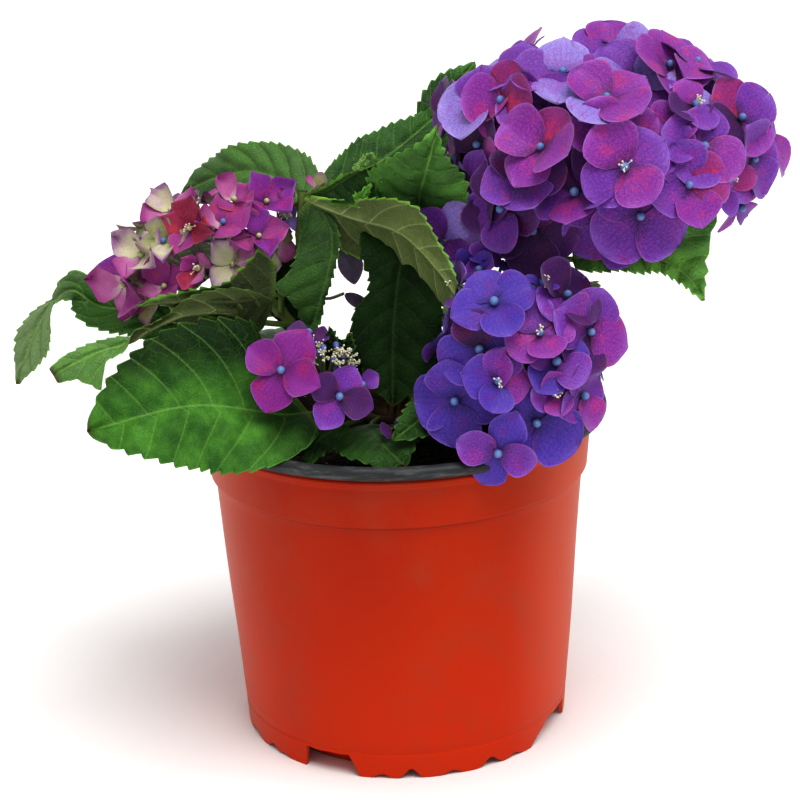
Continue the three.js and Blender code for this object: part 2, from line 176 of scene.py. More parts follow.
# makes the mesh, hangs it on the one body and says which node it replaces
def addPiece(name, shape, material, nodes, smoothed=True):
    points = np.concatenate(shape.points) * metres
    maps = np.concatenate(shape.maps)
    mesh = bpy.data.meshes.new(name)
    mesh.vertices.add(len(points))
    mesh.vertices.foreach_set("co", points.astype(np.float32).ravel())
    sizes = np.concatenate([np.full(len(f), f.shape[1]) for f in shape.faces])
    corners = np.concatenate([f.ravel() for f in shape.faces])
    mesh.loops.add(len(corners))
    mesh.loops.foreach_set("vertex_index", corners.astype(np.int32))
    mesh.polygons.add(len(sizes))
    starts = np.concatenate([[0], np.cumsum(sizes)[:-1]])
    mesh.polygons.foreach_set("loop_start", starts.astype(np.int32))
    mesh.update(calc_edges=True)
    mesh.validate()
    uv = mesh.uv_layers.new(name="OFBake")
    used = np.empty(len(mesh.loops), np.int32)
    mesh.loops.foreach_get("vertex_index", used)
    uv.data.foreach_set("uv", maps[used].astype(np.float32).ravel())
    for key, parts in shape.values.items():
        layer = mesh.attributes.new(key, "FLOAT_VECTOR", "POINT")
        layer.data.foreach_set("vector", np.concatenate(parts).astype(np.float32).ravel())
    mesh.polygons.foreach_set("use_smooth", np.full(len(mesh.polygons), smoothed))
    mesh.materials.append(material)
    piece = bpy.data.objects.new(name, mesh)
    bpy.context.scene.collection.objects.link(piece)
    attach(piece, "root")
    if nodes:
        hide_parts(*nodes)


curveSteps = 400


# a smooth path through points, evened out along its length
class Curve:

    def __init__(self, path):
        path = np.array(path, float)
        self.spans = len(path) - 1
        self.ends = np.vstack([2 * path[0] - path[1], path, 2 * path[-1] - path[-2]])
        self.fine = np.linspace(0, 1, curveSteps + 1)
        steps = np.linalg.norm(np.diff(self.raw(self.fine), axis=0), axis=1)
        self.reach = np.concatenate([[0], np.cumsum(steps)])
        self.length = self.reach[-1]

    def raw(self, t):
        x = np.clip(t, 0, 1) * self.spans
        i = np.minimum(x.astype(int), self.spans - 1)
        f = (x - i)[:, None]
        a, b, c, d = (self.ends[i + k] for k in range(4))
        bent = (2 * a - 5 * b + 4 * c - d) * f**2 + (3 * b - a - 3 * c + d) * f**3
        return 0.5 * (2 * b + (c - a) * f + bent)

    def share(self, along):
        return np.interp(np.asarray(along) * self.length, self.reach, self.fine)

    def points(self, along):
        return self.raw(self.share(along))

    def tangents(self, along):
        step = 0.003
        along = np.asarray(along, float)
        return unit(self.points(np.minimum(along + step, 1)) - self.points(np.maximum(along - step, 0)))


# builds one node material
class Paint:

    def __init__(self, name, roughness=0.6, **settings):
        self.material = bpy.data.materials.new(name)
        self.material.use_nodes = True
        self.tree = self.material.node_tree
        self.surface = self.tree.nodes["Principled BSDF"]
        self.surface.inputs["Roughness"].default_value = roughness
        for key, value in settings.items():
            self.surface.inputs[key.replace("_", " ")].default_value = value

    def node(self, kind, inputs=None, **settings):
        made = self.tree.nodes.new(kind)
        for key, value in settings.items():
            setattr(made, key, value)
        for key, value in (inputs or {}).items():
            self.feed(made.inputs[key], value)
        return made

    def feed(self, socket, value):
        if isinstance(value, bpy.types.NodeSocket):
            self.tree.links.new(value, socket)
        else:
            socket.default_value = value

    def calc(self, operation, a, b=0.0, c=0.0):
        return self.node("ShaderNodeMath", {0: a, 1: b, 2: c}, operation=operation).outputs[0]

    def ramp(self, value, low, high, start=0.0, end=1.0):
        inputs = {"Value": value, "From Min": low, "From Max": high, "To Min": start, "To Max": end}
        return self.node("ShaderNodeMapRange", inputs, interpolation_type="SMOOTHSTEP").outputs[0]

    def mix(self, factor, a, b):
        return self.node("ShaderNodeMix", {0: factor, 6: a, 7: b}, data_type="RGBA").outputs[2]

    def noise(self, vector, scale, detail=3.0, roughness=0.55):
        inputs = {"Vector": vector, "Scale": scale, "Detail": detail, "Roughness": roughness}
        return self.node("ShaderNodeTexNoise", inputs).outputs[0]

    def place(self):
        return self.node("ShaderNodeTexCoord").outputs["Object"]

    def map(self):
        return self.node("ShaderNodeUVMap", uv_map="OFBake").outputs[0]

    def parts(self, vector):
        return self.node("ShaderNodeSeparateXYZ", {0: vector}).outputs

    def stretched(self, vector, high):
        return self.node("ShaderNodeMapping", {"Vector": vector, "Scale": (1, 1, high)}).outputs[0]

    def attribute(self, name):
        return self.parts(self.node("ShaderNodeAttribute", attribute_name=name).outputs["Vector"])

    def bump(self, height, strength, distance):
        inputs = {"Height": height, "Strength": strength, "Distance": distance}
        self.feed(self.surface.inputs["Normal"], self.node("ShaderNodeBump", inputs).outputs[0])

    def rough(self, value):
        self.feed(self.surface.inputs["Roughness"], value)

    def colour(self, value):
        self.feed(self.surface.inputs["Base Color"], value)
        return self.material


# radii and heights in mm; underside, lipFoot and inside are outlines of (radius, height)
pot = {
    "footRadius": 78.6, "shoulderHeight": 129, "shoulderRadius": 88.2, "wallThick": 1.5, "wobble": 0.25,
    "grooveHeight": 13, "grooveDeep": 0.45, "collarRadius": 90.5, "collarDraft": 1.5,
    "ridgeHeight": 151.4, "ridgeRadius": 91.9, "ridgeRound": 1.25,
    "lipHeight": 157.7, "lipRadius": 96.7, "lipThick": 3.15, "notchHeight": 10.8, "skirt": 12, "steps": 720,
    "underside": [(70, 9), (66, 0.4), (30, 0.2), (0.01, 0.2)],
    "lipFoot": [(91.2, 152.6), (92.6, 153.6)],
    "inside": [(91.8, 158.6), (90.6, 156.5), (90.2, 152), (89, 131), (86.8, 128), (86.2, 118)],
}
# where each drainage notch starts and ends and how wide its two slopes are, in degrees
notches = [(-128, -107, 1, 3.5), (-42, -13, 10, 3), (44, 66, 2, 5), (136, 160, 7, 2)]
# worn dips in the foot's edge: middle in degrees, depth in mm and width in degrees
dips = [
    (-159, 3, 4), (-145, 3, 3), (-139, 2, 2), (-99, 2.2, 3), (-89, 5, 2.6), (-75, 1.8, 3.5),
    (-60.6, 4.6, 3), (-50, 2, 3), (-20, 4, 4), (-8, 3, 4), (8, 5, 3), (24, 3, 4), (36, 2, 3), (74, 3, 4),
    (92, 5, 3), (108, 3, 4), (124, 2, 3), (164, 4, 3), (178, 3, 4),
]
# the pot's colours, among them painted sheen for its sides, painted shade for the crease and painted light
# for its foot
potPaint = {
    "wall": (170, 37, 4), "wallLight": (186, 50, 6), "low": (198, 50, 4), "dust": (168, 66, 40),
    "specks": (120, 60, 50), "sideSheen": (226, 110, 78), "creaseShade": (112, 30, 18),
    "black": (40, 42, 44), "scuffs": (92, 94, 96),
}


def fromMiddle(angle, middle):
    return (angle - middle + 180) % 360 - 180


# height of the wall's lower edge round the pot
def footEdge(angle):
    edge = np.zeros_like(angle)
    for middle, deep, wide in dips:
        edge = np.maximum(edge, deep * np.exp(-((fromMiddle(angle, middle) / wide) ** 2)))
    for start, end, rise, fall in notches:
        past = fromMiddle(angle, start)
        share = np.clip(np.minimum(past / rise, (end - start - past) / fall), 0, 1)
        edge = np.maximum(edge, pot["notchHeight"] * share)
    ragged = 0.3 * np.sin(angle * 0.19) * np.sin(angle * 0.53)
    return edge + ragged * (edge > 0.3)


# a round skin from (radius, height) pairs; low lifts the first rows to the foot's edge, and mapBand is
# the band of the map that it takes
def turned(shape, profile, angles, mapBand, low=None, flip=False):
    profile = np.array(profile, float)
    around = np.radians(angles)[None]
    radius = np.repeat(profile[:, :1], len(angles), 1)
    height = np.repeat(profile[:, 1:], len(angles), 1)
    if low is not None:
        height = np.maximum(height, low[None])
        radius = radius + pot["wobble"] * np.sin(3 * around + 0.05 * height) * smooth(height, 10, 60)
    points = np.stack([radius * np.cos(around), radius * np.sin(around), height], -1)
    reach = np.concatenate([[0], np.cumsum(np.linalg.norm(np.diff(profile, axis=0), axis=1))])
    v = mapBand[0] + (mapBand[1] - mapBand[0]) * reach / reach[-1]
    shape.grid(points, mapOf(np.linspace(0.004, 0.996, len(angles)), v[:, None]), flip)


def arc(middleRadius, middleHeight, radius, start, end, steps):
    turns = np.radians(np.linspace(start, end, steps))
    return [(middleRadius + radius * math.cos(t), middleHeight + radius * math.sin(t)) for t in turns]


# moulded plastic with dust and specks, painted sheen on its left and right sides and painted shade under the
# collar
def potMaterial():
    paint = Paint("pot_wall", Specular_IOR_Level=0.12)
    colours = linears(potPaint)
    place = paint.place()
    across, _, height = paint.parts(place)
    broad = paint.noise(paint.stretched(place, 0.35), 9, 3)
    base = paint.mix(paint.ramp(broad, 0.3, 0.72), colours["wall"], colours["wallLight"])
    # painted light: the wall grows lighter towards its foot
    lower = paint.mix(paint.ramp(height, 0.13, 0.0), base, colours["low"])
    dust = paint.ramp(paint.noise(place, 28, 5, 0.65), 0.48, 0.72, 0, 0.42)
    dusty = paint.mix(dust, lower, colours["dust"])
    specks = paint.ramp(paint.noise(place, 420, 2), 0.735, 0.77, 0, 0.5)
    speckled = paint.mix(specks, dusty, colours["specks"])
    # painted sheen: the wall's left and right sides are lightened, the right one more
    leftSheen = paint.ramp(across, -0.05, -0.088, 0, 0.35)
    rightSheen = paint.ramp(across, 0.045, 0.085, 0, 0.5)
    sideSheen = paint.mix(paint.calc("MAXIMUM", leftSheen, rightSheen), speckled, colours["sideSheen"])
    # painted shade: a darker line in the crease under the collar
    fromCrease = paint.calc("ABSOLUTE", paint.calc("SUBTRACT", height, pot["shoulderHeight"] * metres))
    creaseShaded = paint.mix(paint.ramp(fromCrease, 0.0012, 0.0004, 0, 0.5), sideSheen, colours["creaseShade"])
    paint.bump(paint.noise(place, 160, 4, 0.7), 0.12, 0.0004)
    paint.rough(paint.ramp(broad, 0.2, 0.8, 0.36, 0.52))
    return paint.colour(creaseShaded)


# black plastic with pale scuffs that run round the lip
def blackMaterial():
    paint = Paint("pot_black", 0.5, Specular_IOR_Level=0.35)
    colours = linears(potPaint)
    scuffs = paint.noise(paint.stretched(paint.place(), 6), 60, 5, 0.7)
    paint.bump(scuffs, 0.2, 0.0004)
    return paint.colour(paint.mix(paint.ramp(scuffs, 0.45, 0.75), colours["black"], colours["scuffs"]))


# radius of the tapered wall's outside at a height
def wall(height):
    return pot["footRadius"] + (pot["shoulderRadius"] - pot["footRadius"]) * height / pot["shoulderHeight"]


def potOutside():
    groove, deep, shoulder = pot["grooveHeight"], pot["grooveDeep"], pot["shoulderHeight"]
    collar, ridge, ridgeRadius = pot["collarRadius"], pot["ridgeHeight"], pot["ridgeRadius"]
    outline = [(wall(h), h) for h in np.linspace(0, groove - 2, 12)]
    outline += [(wall(groove) - deep / 3, groove - 0.7), (wall(groove) - deep, groove)]
    outline += [(wall(groove), groove + 0.9)]
    outline += [(wall(h), h) for h in np.linspace(groove + 5, shoulder - 1.2, 24)]
    outline += [(wall(shoulder) + 0.25, shoulder - 0.3)]
    outline += [(collar - 0.7, shoulder + 0.1), (collar, shoulder + 0.9)]
    for share in np.linspace(0.05, 1, 8):
        outline.append((collar + pot["collarDraft"] * share, shoulder + 1 + (ridge - 2 - shoulder) * share))
    outline += arc(ridgeRadius, ridge, pot["ridgeRound"], -60, 80, 7)
    return outline + [(ridgeRadius + 0.4, ridge + 2), (ridgeRadius + 1.1, ridge + 3.2)]


def buildPot():
    angles = np.linspace(-180, 180, pot["steps"] + 1)
    low = footEdge(angles)
    inner = [(wall(h) - pot["wallThick"], h) for h in np.linspace(0, pot["skirt"], 8)]
    shape = Shape()
    turned(shape, potOutside(), angles, (0, 0.6), low, True)
    turned(shape, inner, angles, (0.62, 0.7), low)
    turned(shape, [(wall(0), 0), inner[0]], angles, (0.71, 0.72), low)
    turned(shape, inner[-1:] + pot["underside"], angles, (0.74, 1), flip=True)
    addPiece("pot_wall", shape, potMaterial(), ["pot"])
    lip = Shape()
    rolled = arc(pot["lipRadius"], pot["lipHeight"], pot["lipThick"], -150, 150, 16)
    turned(lip, pot["lipFoot"] + rolled + pot["inside"], angles, (0, 1), flip=True)
    addPiece("pot_lip", lip, blackMaterial(), [])


buildPot()
print("pot done")


# lengths in mm
soil = {
    "top": 143, "radius": 89.4, "lumps": 1.8, "crumbs": 0.22, "rings": 70, "around": 180, "mapWide": 185,
    "seed": 11, "dark": (22, 18, 15), "light": (52, 42, 34),
    "grains": {  # how many, darkest and lightest colour, smallest and largest size
        "soil_crumbs": (900, (30, 22, 16), (70, 52, 38), 1.0, 3.2),
        "soil_grit": (128, (150, 145, 135), (215, 210, 200), 0.6, 1.5),
    },
}
grainCorners = unit([(1, 1, 1), (-1, -1, 1), (-1, 1, -1), (1, -1, -1), (0, 0, 1), (0, 0, -1), (1, 0, 0),
                     (-1, 0, 0), (0, 1, 0), (0, -1, 0)])


def soilHeight(x, y):
    swell = np.sin(x / 17 + 1) * np.cos(y / 13) + 0.5 * np.sin((x + y) / 9 + 2)
    return soil["top"] + soil["lumps"] * swell


def soilMaterial():
    paint = Paint("soil", 0.95, Specular_IOR_Level=0.2)
    place = paint.place()
    crumbs = paint.node("ShaderNodeTexVoronoi", {"Vector": place, "Scale": 520}).outputs["Distance"]
    broad = paint.noise(place, 130, 6, 0.7)
    paint.bump(paint.calc("ADD", crumbs, broad), 0.8, 0.002)
    dark, light = linear(soil["dark"]), linear(soil["light"])
    return paint.colour(paint.mix(paint.ramp(broad, 0.35, 0.7), dark, light))


def grainMaterial(name, dark, light):
    paint = Paint(name, 0.9, Specular_IOR_Level=0.2)
    return paint.colour(paint.mix(paint.noise(paint.map(), 9, 3), linear(dark), linear(light)))


# triangles round a small set of points on a sphere
def hullFaces(points):
    mesh = bmesh.new()
    made = [mesh.verts.new(p) for p in points]
    bmesh.ops.convex_hull(mesh, input=made)
    mesh.verts.index_update()
    faces = [[v.index for v in face.verts] for face in mesh.faces]
    mesh.free()
    return np.array([f for f in faces if len(f) == 3], int)


def buildGrains(name, rng, amount, dark, light, small, large):
    shape = Shape()
    faces = hullFaces(grainCorners)
    for _ in range(amount):
        away = (soil["radius"] - 3) * math.sqrt(rng.uniform(0.004, 1))
        angle = rng.uniform(0, tau)
        x, y = away * math.cos(angle), away * math.sin(angle)
        size = rng.uniform(small, large) * rng.uniform(0.5, 1, 3) * (1, 1, 0.6)
        grain = grainCorners * size * rng.uniform(0.75, 1.15, (len(grainCorners), 1))
        turn = Matrix.Rotation(rng.uniform(0, tau), 3, "Z")
        maps = 0.1 + 0.8 * rng.random((1, 2)) + 0.05 * grainCorners[:, :2]
        shape.add(grain @ np.array(turn).T + (x, y, soilHeight(x, y) + 0.2), faces, maps)
    addPiece(name, shape, grainMaterial(name, dark, light), [], False)


def buildSoil():
    rng = np.random.default_rng(soil["seed"])
    radius = np.linspace(0.3, soil["radius"], soil["rings"])[:, None]
    turn = np.linspace(0, tau, soil["around"] + 1)[None]
    x, y = radius * np.cos(turn), radius * np.sin(turn)
    crumb = sum(np.sin(x * a + b) * np.sin(y * c + d) for a, b, c, d in rng.uniform(0.5, 2.2, (14, 4)))
    z = soilHeight(x, y) + soil["crumbs"] * crumb * smooth(soil["radius"] - radius, 0, 4)
    shape = Shape()
    maps = 0.5 + np.stack([x, y], -1) / soil["mapWide"]
    shape.grid(np.stack([x, y, z], -1), maps)
    addPiece("soil_top", shape, soilMaterial(), ["soil"])
    for name, grains in soil["grains"].items():
        buildGrains(name, rng, *grains)


buildSoil()
print("soil done")


# a round limb; radius is a function of the share of the way along, and rough scales it round each ring
def tube(shape, curve, radius, rings, sides, rough=None):
    along = np.linspace(0, 1, rings)
    middle, ahead = curve.points(along), curve.tangents(along)
    right = [unit(np.cross(ahead[0], (0.31, 0.17, 0.93)))]
    for k in range(1, rings):
        right.append(unit(right[-1] - ahead[k] * np.dot(right[-1], ahead[k])))
    across = np.array(right)
    over = np.cross(ahead, across)
    turn = np.linspace(0, tau, sides + 1)
    size = np.array([radius(a) for a in along])[:, None]
    if rough is not None:
        size = size * rough(along[:, None], turn[None])
    around = np.cos(turn)[None, :, None] * across[:, None] + np.sin(turn)[None, :, None] * over[:, None]
    maps = mapOf(np.linspace(0.02, 0.98, sides + 1), along[:, None])
    shape.grid(middle[:, None] + size[..., None] * around, maps, True)


stemBase = {
    "path": [(0, 0, 142.6), (0, 0, 150), (-1, 1, 158), (0, 0, 165)], "from": 6.6, "to": 5.4, "flare": 6,
    "strips": 6, "rough": 0.035, "seed": 3,
}
# each stem's path and its radius at the foot and at the end
stems = {
    "stem_right": ([(0, 0, 152), (28, 0, 172), (60, 2, 204), (82, 0, 236)], 4.2, 2.8),
    "stem_front": ([(0, 0, 150), (18, -24, 164), (36, -40, 176)], 3.6, 2.4),
    "stem_left": ([(0, 0, 150), (-24, 8, 166), (-50, 4, 200), (-74, 0, 230)], 3.8, 2.4),
    "stem_middle": ([(-1, 1, 160), (-30, -7, 180), (-42, -5, 214), (-40, -5, 264)], 3.8, 2.4),
    "stem_low": ([(0, 0, 147), (-20, -34, 165), (-33, -52, 182)], 3.2, 2),
    "stem_centre": ([(0, 1, 158), (10, 5, 186), (17, 7, 218), (18, 14, 244), (18, 24, 262)], 3.6, 2),
    "stem_back": ([(0, 0, 148), (16, 30, 180), (24, 50, 216)], 3.6, 2.4),
}
stemForm = {"jointGap": 22, "firstJoint": 0.12, "jointSwell": 0.22, "ridges": 6, "ridgeSwell": 0.05}
stemPaint = {
    "green": (74, 98, 38), "greenLight": (128, 148, 70), "dots": (88, 44, 60),
    "woody": (96, 72, 52), "woodyLight": (134, 110, 82), "bark": (62, 45, 33), "barkLight": (142, 118, 90),
}


# green above, woody and brown near the soil, with dark dots
def stemMaterial():
    paint = Paint("stem_green", 0.5, Specular_IOR_Level=0.4)
    colours = linears(stemPaint)
    place = paint.place()
    long = paint.stretched(place, 0.2)
    green = paint.mix(paint.noise(long, 260, 3), colours["green"], colours["greenLight"])
    woody = paint.mix(paint.noise(long, 420, 4), colours["woody"], colours["woodyLight"])
    aged = paint.mix(paint.ramp(paint.parts(place)[2], 0.2, 0.155), green, woody)
    dots = paint.ramp(paint.noise(place, 900, 1), 0.64, 0.7, 0, 0.7)
    paint.bump(paint.noise(long, 500, 4), 0.4, 0.0006)
    return paint.colour(paint.mix(dots, aged, colours["dots"]))


def barkMaterial():
    paint = Paint("stem_bark", 0.85, Specular_IOR_Level=0.2)
    colours = linears(stemPaint)
    strips = paint.noise(paint.stretched(paint.place(), 0.16), 520, 6, 0.7)
    paint.bump(strips, 0.9, 0.001)
    return paint.colour(paint.mix(paint.ramp(strips, 0.35, 0.68), colours["bark"], colours["barkLight"]))


def buildStem(name, path, start, end, material):
    curve = Curve(path)
    joints = np.arange(stemForm["firstJoint"], 1, stemForm["jointGap"] / curve.length)

    def ridged(along, turn):
        rings = sum(np.exp(-(((along - joint) * 60) ** 2)) for joint in joints)
        ridges = np.cos(stemForm["ridges"] * turn)
        return 1 + stemForm["ridgeSwell"] * ridges + stemForm["jointSwell"] * rings

    shape = Shape()
    tube(shape, curve, lambda a: start + (end - start) * a, 60, 18, ridged)
    addPiece(name + "_limb", shape, material, [name])


def buildStemBase():
    waves = np.random.default_rng(stemBase["seed"]).uniform(0, tau, stemBase["strips"])

    def bark(along, turn):
        strips = 0
        for k, wave in enumerate(waves):
            strips = strips + np.sin((3 + 2 * k) * turn + wave + 2 * np.sin(along * 9 + k))
        return 1 + stemBase["rough"] * strips

    def radius(a):
        straight = stemBase["from"] + (stemBase["to"] - stemBase["from"]) * a
        return straight + stemBase["flare"] * math.exp(-a * 6)

    shape = Shape()
    tube(shape, Curve(stemBase["path"]), radius, 50, 64, bark)
    addPiece("stem_base_bark", shape, barkMaterial(), ["stem_base"])


stemGreen = stemMaterial()
for name, (path, start, end) in stems.items():
    buildStem(name, path, start, end, stemGreen)
buildStemBase()
print("stems done")


# what a leaf has where its own values don't say otherwise; pairs are for the left and right half
leafUsual = {
    "lift": [10, 10],  # how far each half is raised, in degrees
    "outline": [[0.6, 0.9], [0.6, 0.9]],  # how blunt the foot and how sharp the tip is
    "shares": None,  # or each half's width from foot to tip, as shares of half
    "quilt": 1.1, "wave": 1.3,  # how far the skin swells between the veins and the edge waves, in mm
    "veins": 7, "tooth": 1.5, "toothGap": 4.6,
    "tone": 0.4, "under": 0.4,  # from deep green at 0 to fresh green at 1, above and below
    "paintedLight": 1, "gloss": 0.3,  # the whole leaf darkened as painted shade below 1 and lightened as painted light above 1
    "show": 0.6, "underShow": 0.5,  # how clear the veins are, above and below
    "pale": 0, "paleFrom": -1,  # how pale it is, partly faded and partly painted light, and from how far along
    "shade": [0, 0],  # which half is in deep shade, -1 or 1, and how much
    "margin": 0.9, "edgeHighlight": 0.35,  # how wide and how clear the lime rim of painted highlight along the edge is
    "extra": False,  # an extra leaf replaces no node
}
